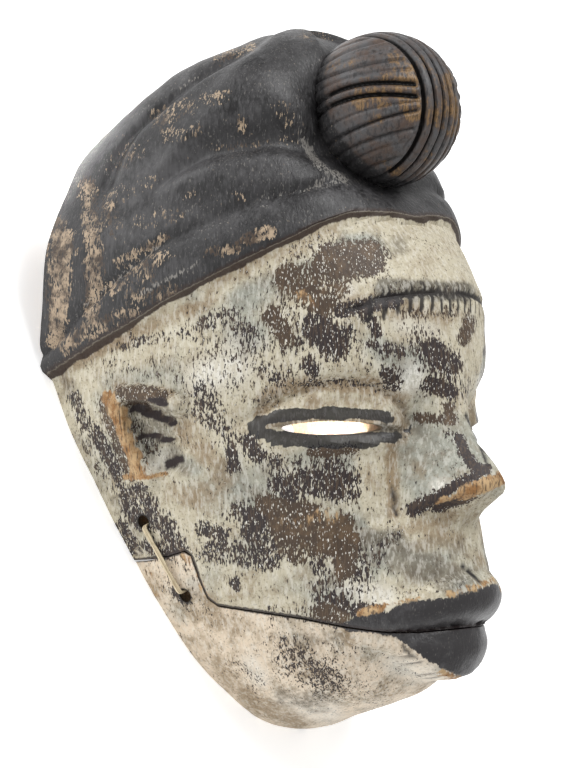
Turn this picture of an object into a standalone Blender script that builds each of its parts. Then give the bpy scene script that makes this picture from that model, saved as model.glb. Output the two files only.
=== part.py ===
"""Carved wooden mask with a moving jaw, laid face up on the edge of its hollow side.

The mask is modelled upright in its own frame: X to the side, Y up, Z forward, with the
origin midway between the two temple corners of the rim. An empty then tips it back so
that the lower rim lies flat on the ground.
"""
import math

import bmesh
import bpy
import numpy as np
from mathutils import Matrix, Vector

# Driving sizes, in metres
MASK_HEIGHT = 0.239
WALL = 0.009
SEAM_GAP = 0.0005
HOLE_DIAMETER = 0.0046
TIE_WIDTH = 0.0022
TIE_THICKNESS = 0.0008
TIE_CLEARANCE = 0.0005
JAW_INSET = 0.0005
EYE_SLIT_LENGTH = 0.033
EYE_SLIT_HEIGHT = 0.0043

# Angles in degrees
RIM_ANGLE = 25.0
CROWN_RIM_SLOPE = 0.09

# The carving is a free form, so its proportions are shares of the height: a table value
# of 1 is one 239th of it, which is a millimetre on this mask.
SHARES = 239.0
UNIT = MASK_HEIGHT / SHARES
TOP, BOTTOM = 114.5, -124.5
MIDDLE, REACH = (TOP + BOTTOM) / 2, (TOP - BOTTOM) / 2
SQUARENESS = 2.1

# Level, half width, front, centre of the section, depth behind the centre
HEAD = [
    (114.5, 0, 60, 57, 40), (108.5, 27, 80, 56, 40), (98, 44, 91, 52, 44),
    (80, 57, 97.5, 40, 52), (60, 65, 104, 30, 75), (41, 70, 112, 24, 90),
    (20, 70, 119.5, 22, 95), (0, 68.5, 122.5, 22, 95), (-20, 66, 119, 24, 95),
    (-40, 61.8, 117, 27, 95), (-60, 57.2, 118, 34, 95), (-80, 51.2, 119.5, 44, 95),
    (-100, 42, 112, 56, 95), (-111, 32.5, 101, 62, 95), (-117, 25.5, 85, 62, 90),
    (-121.5, 17.5, 72, 62, 80), (-124.5, 0, 62, 60, 60),
]

# Turn from the front in degrees, level of the line there
HAIRLINE = [
    (0, 48.4), (11, 49.4), (23, 49.0), (33, 45.6), (43, 39.6), (54, 32.6), (64, 25.4),
    (71, 20.2), (79, 13.2), (87, 7.2), (93, 2.4), (120, -16),
]
ROLL_CREASE = [(0, 62), (28, 60), (39, 56.1), (49, 52.8), (61, 45.8), (71, 39.2), (81, 29),
               (89, 19.7), (97, 9), (120, -12)]
TRESS_VALLEY = [(0, 71), (37, 71.8), (46, 72.8), (55, 71.2), (65, 68.9), (72, 64), (80, 50)]
# Level, distance forward of the valley behind the top tress
REAR_VALLEY = [(40, 22), (56, 24.4), (68, 26), (77, 29.7), (86.4, 40), (94.6, 48.6), (106, 62)]
HAIR_STEP = 2.6

# Level, height of the muzzle over the plain face, and its half width
MUZZLE = [(-26, 0, 22), (-36, 3.5, 23), (-43, 7, 25), (-50, 9, 28), (-57, 9.4, 32),
          (-62, 10, 35), (-67, 10.8, 39), (-74, 10.6, 43), (-79, 9.6, 47), (-84, 8.2, 49),
          (-92, 6.2, 46), (-100, 3.6, 40), (-106, 1.6, 36), (-113, 0, 34)]
# Level, height of the nose ridge over the face and muzzle
NOSE_RIDGE = [(4, 0), (-4, 1.2), (-12, 4.2), (-20, 8.6), (-28.5, 13.8), (-32.5, 16.6), (-36, 17.7),
              (-39, 16.2), (-43, 10.4), (-47, 4), (-52, 0)]
# Level, half width of the nose at its foot
NOSE_WIDTH = [(4, 8), (-10, 13.5), (-25, 18), (-44, 21.5), (-55, 20)]
WING_DROP = 0.36
# Distance from the middle, middle level and half height of the upper lip
UPPER_LIP = [(0, -76.5, 8.2), (10, -76.8, 8.0), (20, -79, 7.0), (30, -82, 4.8), (40, -84.2, 2.4),
             (46, -84.5, 1.0)]
UPPER_LIP_HEIGHT = [(0, 4.2), (15, 4.4), (28, 3.6), (40, 1.6), (46, 0)]
# Distance from the middle, top and bottom level of the lower lip
LOWER_LIP = [(0, -84.3, -105.2), (8, -85.2, -103.8), (16, -86.2, -99), (26, -86, -93.5),
             (36, -84.6, -89), (44, -84, -86)]
# Share of the way down the lower lip, its height over the plain face there
LOWER_LIP_ROLL = [(0, 0), (0.08, 2.4), (0.2, 4.0), (0.5, 8.4), (0.75, 10.6), (0.9, 11.6),
                  (0.985, 4), (1, 0)]

# The jaw's seam in side view: distance forward, level
SEAM = [(10, -66.8), (35.8, -64.7), (46, -62.9), (52.1, -61.1), (54.7, -62.6), (56.2, -69),
        (58.6, -76.6), (62.1, -78.9), (66.8, -79.5), (78.5, -80.8), (91, -82.4), (104, -84.9),
        (114, -86.5), (121, -86.6), (130, -85.6), (137, -84.3), (160, -82.8)]
JAW_PIVOT_LEVEL = -66.5

# Ear and tie holes in side view: distance forward, level
EAR_RIDGE = [(55, -13.5), (50, -10.8), (43, -9.2), (36.5, -9.4), (33, -12.5), (34.4, -21),
             (38, -30.5), (42, -38)]
EAR_STROKES = [[(38, -13.5), (47, -16), (56, -20.5)], [(41.5, -22), (48, -24.5), (55, -26)]]
UPPER_HOLE = (37.5, -52.1)
LOWER_HOLE = (49.4, -76.4)

# Eye in front view: distance from the middle, level
EYE = (34.5, -21.0)
EYE_TURN = 42.0
LID_CREASE = [(16, -19), (20, -15.5), (26, -10.5), (33, -7.2), (40, -6.4), (47, -9), (53, -15),
              (57, -20)]
BROW_LINE = [(0, 22.6), (13, 23.2), (25, 21.6), (33, 19.4), (41, 15.5), (46, 11)]

# Hair knot: centre level, distance forward, radius, and its grooves on the unit ball
KNOT = (85.0, 92.5, 26.3)
# Place, depth and half width of each groove that rings the knot
KNOT_SLICES = [(0.07, 1.3, 0.024), (0.225, 1.4, 0.024), (0.385, 2.0, 0.034)]
KNOT_SIDE_GROOVES = [-0.75, -0.6, -0.42, -0.24, -0.06, 0.15, 0.34, 0.5, 0.64, 0.78]
KNOT_SIDE_RISE = 0.25

# Triangles kept on each carved surface
HEAD_FACES = 4700
KNOT_FACES = 1900


def curve_through(table, column=1):
    """Smooth curve through a table of stations that never overshoots them."""
    rows = sorted(table)
    x = np.array([row[0] for row in rows], float)
    y = np.array([row[column] for row in rows], float)
    step = np.diff(x)
    slope = np.diff(y) / step
    tangent = np.zeros_like(y)
    same = slope[:-1] * slope[1:] > 0
    w1, w2 = 2 * step[1:] + step[:-1], step[1:] + 2 * step[:-1]
    lower = np.where(same, slope[:-1], 1)
    upper = np.where(same, slope[1:], 1)
    tangent[1:-1] = np.where(same, (w1 + w2) / (w1 / lower + w2 / upper), 0)
    tangent[0], tangent[-1] = slope[0], slope[-1]

    def at(value):
        value = np.clip(np.asarray(value, float), x[0], x[-1])
        i = np.clip(np.searchsorted(x, value, side="right") - 1, 0, len(x) - 2)
        h = step[i]
        t = (value - x[i]) / h
        return (y[i] * (1 + 2 * t) * (1 - t) ** 2 + tangent[i] * h * t * (1 - t) ** 2
                + y[i + 1] * t * t * (3 - 2 * t) + tangent[i + 1] * h * t * t * (t - 1))
    return at


def smooth(start, end, value):
    t = np.clip((value - start) / (end - start), 0, 1)
    return t * t * (3 - 2 * t)


def bump(distance, width):
    return np.exp(-(distance / width) ** 2)


def line_distance(points, u, v):
    """Distance in a plane from each point to a line of straight runs."""
    best = np.full(u.shape, 1e9)
    for (u0, v0), (u1, v1) in zip(points[:-1], points[1:]):
        du, dv = u1 - u0, v1 - v0
        t = np.clip(((u - u0) * du + (v - v0) * dv) / (du * du + dv * dv), 0, 1)
        best = np.minimum(best, np.hypot(u - u0 - t * du, v - v0 - t * dv))
    return best


class Head:
    """The plain egg of the head, made smaller all round by an inset."""

    def __init__(self, inset=0.0):
        rows = []
        self.middle, self.reach = MIDDLE, REACH - inset
        for level, width, front, centre, rear in HEAD:
            turn = math.asin(max(-1.0, min(1.0, (level - MIDDLE) / REACH)))
            rows.append((turn, max(math.cos(turn), 1e-3), width, front - centre, centre, rear))
        last = len(rows) - 1
        wide = [(r[0], r[2] / r[1]) for r in rows]
        deep = [(r[0], r[3] / r[1]) for r in rows]
        wide[0], wide[last] = (rows[0][0], wide[1][1]), (rows[last][0], wide[last - 1][1])
        deep[0], deep[last] = (rows[0][0], deep[1][1]), (rows[last][0], deep[last - 1][1])
        self.wide = curve_through([(t, w - inset) for t, w in wide])
        self.deep = curve_through([(t, d - inset) for t, d in deep])
        self.centre = curve_through([(r[0], r[4]) for r in rows])
        self.rear = curve_through([(r[0], r[5]) for r in rows])

    def points(self, direction):
        up = np.clip(direction[:, 1], -1, 1)
        turn = np.arcsin(up)
        flat = np.hypot(direction[:, 0], direction[:, 2])
        safe = np.where(flat > 1e-9, flat, 1)
        side = np.where(flat > 1e-9, direction[:, 0] / safe, 0)
        ahead = np.where(flat > 1e-9, direction[:, 2] / safe, 1)
        k = (np.abs(side) ** SQUARENESS + np.abs(ahead) ** SQUARENESS) ** (-1 / SQUARENESS)
        level = np.cos(turn)
        depth = np.where(ahead >= 0, self.deep(turn), self.rear(turn))
        return np.stack([self.wide(turn) * level * side * k,
                         self.middle + self.reach * up,
                         self.centre(turn) + depth * level * ahead * k], 1)

    def normals(self, direction):
        across = np.cross(direction, np.array([0.0, 1.0, 0.0]) + 1e-6)
        across /= np.linalg.norm(across, axis=1)[:, None]
        along = np.cross(direction, across)
        steps = []
        for way in (across, along):
            ends = []
            for sign in (1, -1):
                moved = direction + sign * 0.004 * way
                ends.append(self.points(moved / np.linalg.norm(moved, axis=1)[:, None]))
            steps.append(ends[0] - ends[1])
        normal = np.cross(steps[0], steps[1])
        normal /= np.linalg.norm(normal, axis=1)[:, None] + 1e-12
        return normal * np.sign((normal * direction).sum(1))[:, None]


def hair_relief(turn, x, y, z):
    """Height of the hair over the plain head: step, roll, tresses and their valleys."""
    over = y - curve_through(HAIRLINE)(turn)
    crease = curve_through(ROLL_CREASE)(turn)
    valley = curve_through(TRESS_VALLEY)(turn)
    rear = curve_through(REAR_VALLEY)(y)
    height = HAIR_STEP * (smooth(-1.0, 1.6, over) - smooth(-24, -2, over) / 2
                          - smooth(6, 26, over) / 2)
    share = np.clip(over / np.maximum(crease - curve_through(HAIRLINE)(turn), 1), 0, 1)
    height += 0.8 * np.sin(math.pi * share) - crown_dip(y)
    past = y - crease
    height += smooth(20, 34, turn) * (0.9 * smooth(-0.5, 5, past) - 1.2 * bump(past, 1.8))
    above = y - valley
    width = np.where(above > 0, 7.0, 3.2)
    fade = smooth(18, 34, turn) * (1 - smooth(68, 79, turn)) * smooth(30, 50, y)
    height += fade * (-4.4 * bump(above, width) + 1.4 * smooth(3, 16, above))
    behind = z - rear
    fade = smooth(48, 62, y) * smooth(30, 44, np.abs(x))
    height += fade * (-1.9 * bump(behind, np.where(behind > 0, 4.5, 2.2))
                      + 1.2 * smooth(0, 8, behind))
    height += 3.4 * smooth(55, 80, y) * (1 - smooth(94, 110, y)) * smooth(2, -12, behind)
    return height - knot_dip(x, y, z)


def crown_dip(y):
    return 1.8 * smooth(30, 60, y)


def knot_dip(x, y, z):
    """How far the hair sinks in round the foot of the knot."""
    away = np.sqrt(x ** 2 + (y - KNOT[0]) ** 2 + (z - KNOT[1]) ** 2)
    return (9.5 - 7 * smooth(95, 111, y)) * bump(away - 20, 16)


def ear_relief(x, y, z):
    away = line_distance(EAR_RIDGE, z, y)
    height = 3.3 * np.sqrt(np.clip(1 - (away / (3.7 - 1.0 * smooth(-14, -9, y))) ** 4, 0, 1))
    inner = smooth(31, 38, z - 0.30 * (-9 - y) + 1.5) * (1 - smooth(50, 63, z))
    inner *= smooth(-38.6, -36.4, y + 0.17 * (41 - z)) * (1 - smooth(-12, -8, y))
    height -= 3.3 * inner * smooth(2.0, 4.6, away)
    for stroke in EAR_STROKES:
        height -= 1.3 * bump(line_distance(stroke, z, y), 1.2)
    near = smooth(24, 30, z) * (1 - smooth(62, 68, z)) * smooth(-46, -40, y)
    return height * near * (1 - smooth(-5, -2, y))


def eye_relief(x, y):
    """Sunk socket, crease over the lid and the swell of both lids."""
    across = (x - EYE[0]) / 19.5
    body = np.clip(1 - across ** 2, 0, 1)
    height = -3.6 * bump(x - 33, 21) * bump(y + 17, 10.5)
    crease = curve_through(LID_CREASE)(x)
    reach = smooth(14, 20, x) * (1 - smooth(54, 60, x))
    height -= 2.2 * reach * bump(y - crease, np.where(y > crease, 2.6, 1.5))
    upper = (y - (EYE[1] + 1.4)) / 9.0
    height += 4.0 * np.sqrt(body) * np.where(upper > 0, bump(upper, 0.72), bump(upper, 0.16))
    lower = (y - (EYE[1] - 4.2)) / 4.2
    height += 2.8 * np.sqrt(body) * bump(lower, 0.72)
    corner = np.hypot(x - 15.5, (y - EYE[1]) * 1.2)
    return height - 2.0 * bump(corner, 3.6)


def brow_relief(x, y):
    line = curve_through(BROW_LINE)(x)
    reach = 1 - smooth(34, 45, x)
    return reach * (1.3 * bump(y - line, 6.5) - 1.6 * bump(y - line, 1.1))


def nose_relief(x, y):
    low = smooth(-22, -40, y + WING_DROP * x)
    level = y + WING_DROP * x * low
    share = np.clip(x / curve_through(NOSE_WIDTH)(level), 0, 1)
    level = np.where(level < -37, -37 + (level + 37) * (1 + 1.3 * smooth(4, 16, x)), level)
    foot = bump(x - curve_through(NOSE_WIDTH)(y), 3.6) * smooth(-8, -16, y) * smooth(-54, -46, y)
    return curve_through(NOSE_RIDGE)(level) * (1 - share ** (1.25 + 0.95 * low)) - 1.5 * foot


def muzzle_relief(x, y):
    high, wide = curve_through(MUZZLE, 1)(y), curve_through(MUZZLE, 2)(y)
    height = high * np.clip(1 - (x / wide) ** 2, 0, 1) ** 1.25
    gutter = smooth(-50, -55, y) * (1 - smooth(-66, -72, y))
    height -= 1.6 * gutter * bump(x, 4.2)
    mid, half = curve_through(UPPER_LIP, 1)(x), curve_through(UPPER_LIP, 2)(x)
    away = np.clip(np.abs(y - mid) / half, 0, 1)
    height += curve_through(UPPER_LIP_HEIGHT)(x) * np.sqrt(1 - away ** 2)
    top, bottom = curve_through(LOWER_LIP, 1)(x), curve_through(LOWER_LIP, 2)(x)
    down = np.clip((top - y) / (top - bottom), 0, 1)
    lip = curve_through(LOWER_LIP_ROLL)(down) * (1 - smooth(4, 42, x)) ** 0.9
    return height + lip


def carve(head, direction, jaw_inset):
    """Points of the carved outer surface for unit directions."""
    base, normal = head.points(direction), head.normals(direction)
    x, y, z = np.abs(base[:, 0]), base[:, 1], base[:, 2]
    turn = np.degrees(np.arctan2(np.abs(direction[:, 0]), direction[:, 2]))
    front = smooth(40, 60, z)
    out = hair_relief(turn, x, y, z) + ear_relief(x, y, z) * smooth(40, 52, x)
    out = out + (eye_relief(x, y) + brow_relief(x, y)) * front
    seam = curve_through(SEAM)(z)
    out = out - jaw_inset * smooth(0.2, -0.2, y - seam)
    ahead = (nose_relief(x, y) + muzzle_relief(x, y)) * smooth(60, 82, z)
    point = base + normal * out[:, None]
    point[:, 2] += ahead
    return point


def ball_directions(steps):
    """A cube divided into a grid and blown up to a ball, as a mesh."""
    bm = bmesh.new()
    bmesh.ops.create_cube(bm, size=2.0)
    bmesh.ops.subdivide_edges(bm, edges=bm.edges[:], cuts=steps - 1, use_grid_fill=True)
    bmesh.ops.recalc_face_normals(bm, faces=bm.faces[:])
    mesh = bpy.data.meshes.new("ball")
    bm.to_mesh(mesh)
    bm.free()
    co = np.empty(len(mesh.vertices) * 3)
    mesh.vertices.foreach_get("co", co)
    co = np.tan(co.reshape(-1, 3) * math.pi / 4)
    return mesh, co / np.linalg.norm(co, axis=1)[:, None]


def set_points(mesh, points):
    mesh.vertices.foreach_set("co", (points * UNIT).astype(np.float32).ravel())
    mesh.update()


def add_object(name, mesh, collection):
    obj = bpy.data.objects.new(name, mesh)
    collection.objects.link(obj)
    return obj


def as_cutter(obj):
    obj.hide_render = True
    obj.display_type = 'WIRE'
    return obj


def apply_modifiers(obj):
    graph = bpy.context.evaluated_depsgraph_get()
    graph.update()
    mesh = bpy.data.meshes.new_from_object(obj.evaluated_get(graph))
    obj.modifiers.clear()
    obj.data = mesh


def thin_out(obj, faces):
    """Fewer triangles where the surface is plain, keeping the carving."""
    obj.data.calc_loop_triangles()
    mod = obj.modifiers.new("thin", 'DECIMATE')
    mod.ratio = min(1.0, faces / len(obj.data.loop_triangles))
    apply_modifiers(obj)


def combine(obj, other, operation):
    mod = obj.modifiers.new("cut", 'BOOLEAN')
    mod.operation = operation
    mod.solver = 'EXACT'
    mod.object = other
    apply_modifiers(obj)


def tidy(obj):
    bm = bmesh.new()
    bm.from_mesh(obj.data)
    bmesh.ops.remove_doubles(bm, verts=bm.verts[:], dist=0.00002)
    bmesh.ops.dissolve_degenerate(bm, edges=bm.edges[:], dist=0.00002)
    bmesh.ops.triangulate(bm, faces=bm.faces[:])
    bm.to_mesh(obj.data)
    bm.free()


def slice_off(obj, point, normal):
    """Cut with a plane, drop what the normal points away from, and close the cut."""
    bm = bmesh.new()
    bm.from_mesh(obj.data)
    geom = bm.verts[:] + bm.edges[:] + bm.faces[:]
    cut = bmesh.ops.bisect_plane(bm, geom=geom, plane_co=point, plane_no=normal,
                                 clear_inner=True, dist=1e-7)
    edges = [e for e in cut["geom_cut"] if isinstance(e, bmesh.types.BMEdge) and e.is_boundary]
    bmesh.ops.contextual_create(bm, geom=edges)
    bmesh.ops.recalc_face_normals(bm, faces=bm.faces[:])
    bm.to_mesh(obj.data)
    bm.free()


def side_block(name, outline, half_width, collection):
    """A side-view outline of (forward, level) points carried right across the mask."""
    bm = bmesh.new()
    verts = [bm.verts.new((-half_width, y * UNIT, z * UNIT)) for z, y in outline]
    face = bm.faces.new(verts)
    out = bmesh.ops.extrude_face_region(bm, geom=[face])
    moved = [v for v in out["geom"] if isinstance(v, bmesh.types.BMVert)]
    bmesh.ops.translate(bm, verts=moved, vec=(2 * half_width, 0, 0))
    bmesh.ops.recalc_face_normals(bm, faces=bm.faces[:])
    mesh = bpy.data.meshes.new(name)
    bm.to_mesh(mesh)
    bm.free()
    return as_cutter(add_object(name, mesh, collection))


def rod(name, segments, radius, length, matrix, collection):
    bm = bmesh.new()
    bmesh.ops.create_cone(bm, cap_ends=True, segments=segments, radius1=radius, radius2=radius,
                          depth=length, matrix=matrix)
    mesh = bpy.data.meshes.new(name)
    bm.to_mesh(mesh)
    bm.free()
    return as_cutter(add_object(name, mesh, collection))


def knot_points(direction):
    """The hair knot: a ball sliced by grooves, with arched grooves on both cheeks."""
    x, y, z = np.abs(direction[:, 0]), direction[:, 1], direction[:, 2]
    radius = np.full(len(x), KNOT[2])
    front = smooth(-0.35, 0.1, z)
    for place, deep, wide in KNOT_SLICES:
        radius -= deep * front * bump(x - place, wide)
    cheek = smooth(0.42, 0.49, x)
    for number, place in enumerate(KNOT_SIDE_GROOVES):
        deep = 1.5 if number in (4, 5) else 0.9
        radius -= deep * cheek * bump(y - place - KNOT_SIDE_RISE * z, 0.026)
    points = direction * radius[:, None]
    points[:, 1] += KNOT[0]
    points[:, 2] += KNOT[1]
    return points


def side_point(head, forward, level):
    """Point of the plain head on the left side, from its side view."""
    up = (level - head.middle) / head.reach
    turn = np.linspace(0.2, math.pi - 0.2, 4000)
    flat = math.sqrt(max(1 - up * up, 0))
    ways = np.stack([flat * np.sin(turn), np.full(len(turn), up), flat * np.cos(turn)], 1)
    points = head.points(ways)
    best = int(np.argmin(np.abs(points[:, 2] - forward)))
    return Vector(points[best]), Vector(head.normals(ways[best:best + 1])[0])


def frame_matrix(origin, x_axis, y_axis, z_axis):
    turn = Matrix((x_axis, y_axis, z_axis)).transposed()
    return Matrix.Translation(origin) @ turn.to_4x4()


def tie_frame(head):
    """Left tie: middle between its holes, direction along it, and straight out."""
    top, normal_top = side_point(head, *UPPER_HOLE)
    low, normal_low = side_point(head, *LOWER_HOLE)
    along = (low - top).normalized()
    out = normal_top + normal_low
    out = (out - along * out.dot(along)).normalized()
    swell = 0.0
    for share in np.linspace(0, 1, 21):
        z = UPPER_HOLE[0] + share * (LOWER_HOLE[0] - UPPER_HOLE[0])
        y = UPPER_HOLE[1] + share * (LOWER_HOLE[1] - UPPER_HOLE[1])
        swell = max(swell, (side_point(head, z, y)[0] - top).dot(out))
    return top * UNIT, low * UNIT, along, out, swell * UNIT


def ring_outline(half, low, high, radius, corner=5):
    """Corner-rounded rectangle, as points in order."""
    points = []
    for cx, cy, start in ((half, high, 0), (-half, high, 90), (-half, low, 180), (half, low, 270)):
        px = cx - math.copysign(radius, cx)
        py = cy - radius if cy == high else cy + radius
        for i in range(corner):
            a = math.radians(start + 90 * i / (corner - 1))
            points.append((px + radius * math.cos(a), py + radius * math.sin(a), 0))
    return points


def make_tie(name, head, mirror, parent, collection):
    """Closed loop of cane strip through both holes: a flat ring outline, extruded."""
    top, low, along, out, swell = tie_frame(head)
    spacing = (low - top).length
    inside = swell + TIE_CLEARANCE
    behind = -(WALL * 1.12 + TIE_CLEARANCE)
    half = spacing / 2 - HOLE_DIAMETER / 2 + TIE_CLEARANCE + TIE_THICKNESS
    curve = bpy.data.curves.new(name, 'CURVE')
    curve.dimensions = '2D'
    curve.fill_mode = 'BOTH'
    curve.extrude = TIE_WIDTH / 2
    for grow, radius in ((0.0, 0.0016), (-TIE_THICKNESS, 0.0016 - TIE_THICKNESS)):
        points = ring_outline(half + grow, behind - TIE_THICKNESS - grow,
                              inside + TIE_THICKNESS + grow, radius)
        spline = curve.splines.new('POLY')
        spline.points.add(len(points) - 1)
        for point, co in zip(spline.points, points):
            point.co = (*co, 1)
        spline.use_cyclic_u = True
    loose = bpy.data.objects.new(name + "_strip", curve)
    collection.objects.link(loose)
    graph = bpy.context.evaluated_depsgraph_get()
    graph.update()
    mesh = bpy.data.meshes.new_from_object(loose.evaluated_get(graph))
    bpy.data.objects.remove(loose)
    place = frame_matrix((top + low) / 2, along, out, along.cross(out))
    if mirror:
        place = Matrix.Diagonal((-1, 1, 1, 1)) @ place
    mesh.transform(place)
    bm = bmesh.new()
    bm.from_mesh(mesh)
    bmesh.ops.remove_doubles(bm, verts=bm.verts[:], dist=0.00001)
    bmesh.ops.recalc_face_normals(bm, faces=bm.faces[:])
    bmesh.ops.triangulate(bm, faces=bm.faces[:])
    bm.to_mesh(mesh)
    bm.free()
    mesh.name = name
    obj = add_object(name, mesh, collection)
    obj.parent = parent
    return obj


def material(name, colour, roughness):
    mat = bpy.data.materials.new(name)
    mat.use_nodes = True
    shader = mat.node_tree.nodes["Principled BSDF"]
    shader.inputs["Base Color"].default_value = (*colour, 1)
    shader.inputs["Roughness"].default_value = roughness
    shader.inputs["Metallic"].default_value = 0.0
    return mat


def finish(obj, mat):
    obj.data.materials.clear()
    obj.data.materials.append(mat)
    obj.data.shade_smooth()
    obj.data.set_sharp_from_angle(angle=math.radians(35))


def carved_block(collection, cutters):
    """Head and knot in one solid, cut flat along the rim and hollowed to the wall."""
    head = Head()
    mesh, direction = ball_directions(96)
    points = carve(head, direction, JAW_INSET / UNIT)
    set_points(mesh, points)
    block = add_object("block", mesh, collection)
    slope = math.tan(math.radians(RIM_ANGLE))
    bm = bmesh.new()
    bm.from_mesh(mesh)
    margin = 9 * UNIT
    spare = [v for v in bm.verts
             if v.co.z < -v.co.y * slope - margin or v.co.z < v.co.y * CROWN_RIM_SLOPE - margin]
    bmesh.ops.delete(bm, geom=spare, context='VERTS')
    bm.to_mesh(mesh)
    bm.free()
    thin_out(block, HEAD_FACES)
    slice_off(block, (0, 0, 0), (0, slope, 1))
    slice_off(block, (0, 0, 0), (0, -CROWN_RIM_SLOPE, 1))
    mesh, direction = ball_directions(44)
    set_points(mesh, knot_points(direction))
    knot = as_cutter(add_object("knot_ball", mesh, cutters))
    thin_out(knot, KNOT_FACES)
    combine(block, knot, 'UNION')
    mesh, direction = ball_directions(13)
    inner = Head(WALL / UNIT)
    points = inner.points(direction)
    dip = knot_dip(np.abs(points[:, 0]), points[:, 1], points[:, 2] + WALL / UNIT)
    dip += crown_dip(points[:, 1])
    set_points(mesh, points - inner.normals(direction) * dip[:, None])
    hollow = as_cutter(add_object("hollow", mesh, cutters))
    combine(block, hollow, 'DIFFERENCE')
    return block, head


def cut_openings(block, head, cutters):
    """Both eye slits and the four tie holes."""
    for side in (-1, 1):
        turn = math.radians(EYE_TURN) * side
        centre = Vector((side * EYE[0], EYE[1] + 0.3, 96)) * UNIT
        matrix = (Matrix.Translation(centre) @ Matrix.Rotation(turn, 4, 'Y')
                  @ Matrix.Diagonal((EYE_SLIT_LENGTH / 2, EYE_SLIT_HEIGHT / 2, 1, 1)))
        slit = rod("eye_slit", 28, 1.0, 60 * UNIT, matrix, cutters)
        combine(block, slit, 'DIFFERENCE')
    top, low, along, out, swell = tie_frame(head)
    for side in (-1, 1):
        flip = Matrix.Diagonal((side, 1, 1, 1))
        for place in (top, low):
            matrix = frame_matrix(place, along, along.cross(out) * -1, out)
            hole = rod("tie_hole", 14, HOLE_DIAMETER / 2, WALL * 4, flip @ matrix, cutters)
            bm = bmesh.new()
            bm.from_mesh(hole.data)
            bmesh.ops.recalc_face_normals(bm, faces=bm.faces[:])
            bm.to_mesh(hole.data)
            bm.free()
            combine(block, hole, 'DIFFERENCE')


def build():
    for obj in list(bpy.data.objects):
        bpy.data.objects.remove(obj, do_unlink=True)
    scene = bpy.context.scene
    scene.unit_settings.system = 'METRIC'
    model = bpy.data.collections.new("ogoni_jaw_mask")
    cutters = bpy.data.collections.new("cutters")
    scene.collection.children.link(model)
    scene.collection.children.link(cutters)

    block, head = carved_block(model, cutters)
    cut_openings(block, head, cutters)
    block.data.name = "upper_mask"
    block.name = "upper_mask"
    jaw = add_object("jaw", block.data.copy(), model)
    shift = SEAM_GAP / UNIT
    low = BOTTOM - 20
    above = [(z, y) for z, y in SEAM] + [(SEAM[-1][0], low), (SEAM[0][0], low)]
    below = [(z - shift, y - shift) for z, y in above]
    below[len(SEAM) - 1] = (SEAM[-1][0], SEAM[-1][1] - shift)
    combine(block, side_block("jaw_room", above, 90 * UNIT, cutters), 'DIFFERENCE')
    combine(jaw, side_block("jaw_block", below, 90 * UNIT, cutters), 'INTERSECT')
    tidy(block)
    tidy(jaw)

    tip = bpy.data.objects.new("lying", None)
    model.objects.link(tip)
    tip.rotation_euler = (math.radians(RIM_ANGLE), 0, 0)
    axis = bpy.data.objects.new("jaw_axis", None)
    model.objects.link(axis)
    axis.parent = tip
    slope = math.tan(math.radians(RIM_ANGLE))
    pivot = Vector((0, JAW_PIVOT_LEVEL, -JAW_PIVOT_LEVEL * slope)) * UNIT
    axis.location = pivot
    jaw.data.transform(Matrix.Translation(-pivot))
    jaw.parent = axis
    block.parent = tip
    ties = [make_tie("tie_right", head, True, tip, model),
            make_tie("tie_left", head, False, tip, model)]

    finish(block, material("painted_wood", (0.36, 0.31, 0.24), 0.62))
    finish(jaw, material("chalked_wood", (0.50, 0.43, 0.33), 0.7))
    for tie in ties:
        finish(tie, material("cane_" + tie.name, (0.55, 0.46, 0.32), 0.55))

    turn = tip.rotation_euler.to_matrix()
    spots = [turn @ v.co for v in block.data.vertices]
    spots += [turn @ (v.co + pivot) for v in jaw.data.vertices]
    ends = [(min(s[i] for s in spots), max(s[i] for s in spots)) for i in range(3)]
    tip.location = (0, -(ends[1][0] + ends[1][1]) / 2, -ends[2][0])


build()
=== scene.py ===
"""Looks of the carved mask with a moving jaw: fine carving, worn paint, cane ties, stage."""
import math
from contextlib import contextmanager

import bpy
import numpy as np
from bpy.props import FloatProperty, FloatVectorProperty, IntProperty, PointerProperty
from mathutils import Matrix, Vector


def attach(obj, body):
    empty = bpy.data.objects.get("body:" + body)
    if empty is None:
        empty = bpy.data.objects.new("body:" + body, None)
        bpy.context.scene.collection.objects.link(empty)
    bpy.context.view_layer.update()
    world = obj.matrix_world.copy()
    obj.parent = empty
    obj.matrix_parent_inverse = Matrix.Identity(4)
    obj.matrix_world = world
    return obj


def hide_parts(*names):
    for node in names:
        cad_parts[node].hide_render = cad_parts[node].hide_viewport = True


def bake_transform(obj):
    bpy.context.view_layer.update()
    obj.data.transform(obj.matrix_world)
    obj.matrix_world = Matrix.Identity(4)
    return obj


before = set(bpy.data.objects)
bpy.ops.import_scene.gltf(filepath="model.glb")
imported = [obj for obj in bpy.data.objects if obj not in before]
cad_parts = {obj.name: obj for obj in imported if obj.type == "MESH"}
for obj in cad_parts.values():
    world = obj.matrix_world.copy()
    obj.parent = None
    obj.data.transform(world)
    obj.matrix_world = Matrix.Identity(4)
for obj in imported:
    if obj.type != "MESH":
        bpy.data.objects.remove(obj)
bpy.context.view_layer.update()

bl_info = {
    "name": "Moving jaw mask",
    "version": (1, 0, 0),
    "blender": (4, 5, 0),
    "location": "3D View > Sidebar > Mask",
    "description": "Carves and paints a wooden mask with a moving jaw",
    "category": "Object",
}

# The carving is a free form, so its proportions are shares of the height: a table value
# of 1 is one 239th of it, which is a millimetre on this mask.
SHARES = 239.0
TOP, BOTTOM = 114.5, -124.5
MIDDLE, REACH = (TOP + BOTTOM) / 2, (TOP - BOTTOM) / 2
SQUARENESS = 2.1

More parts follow.
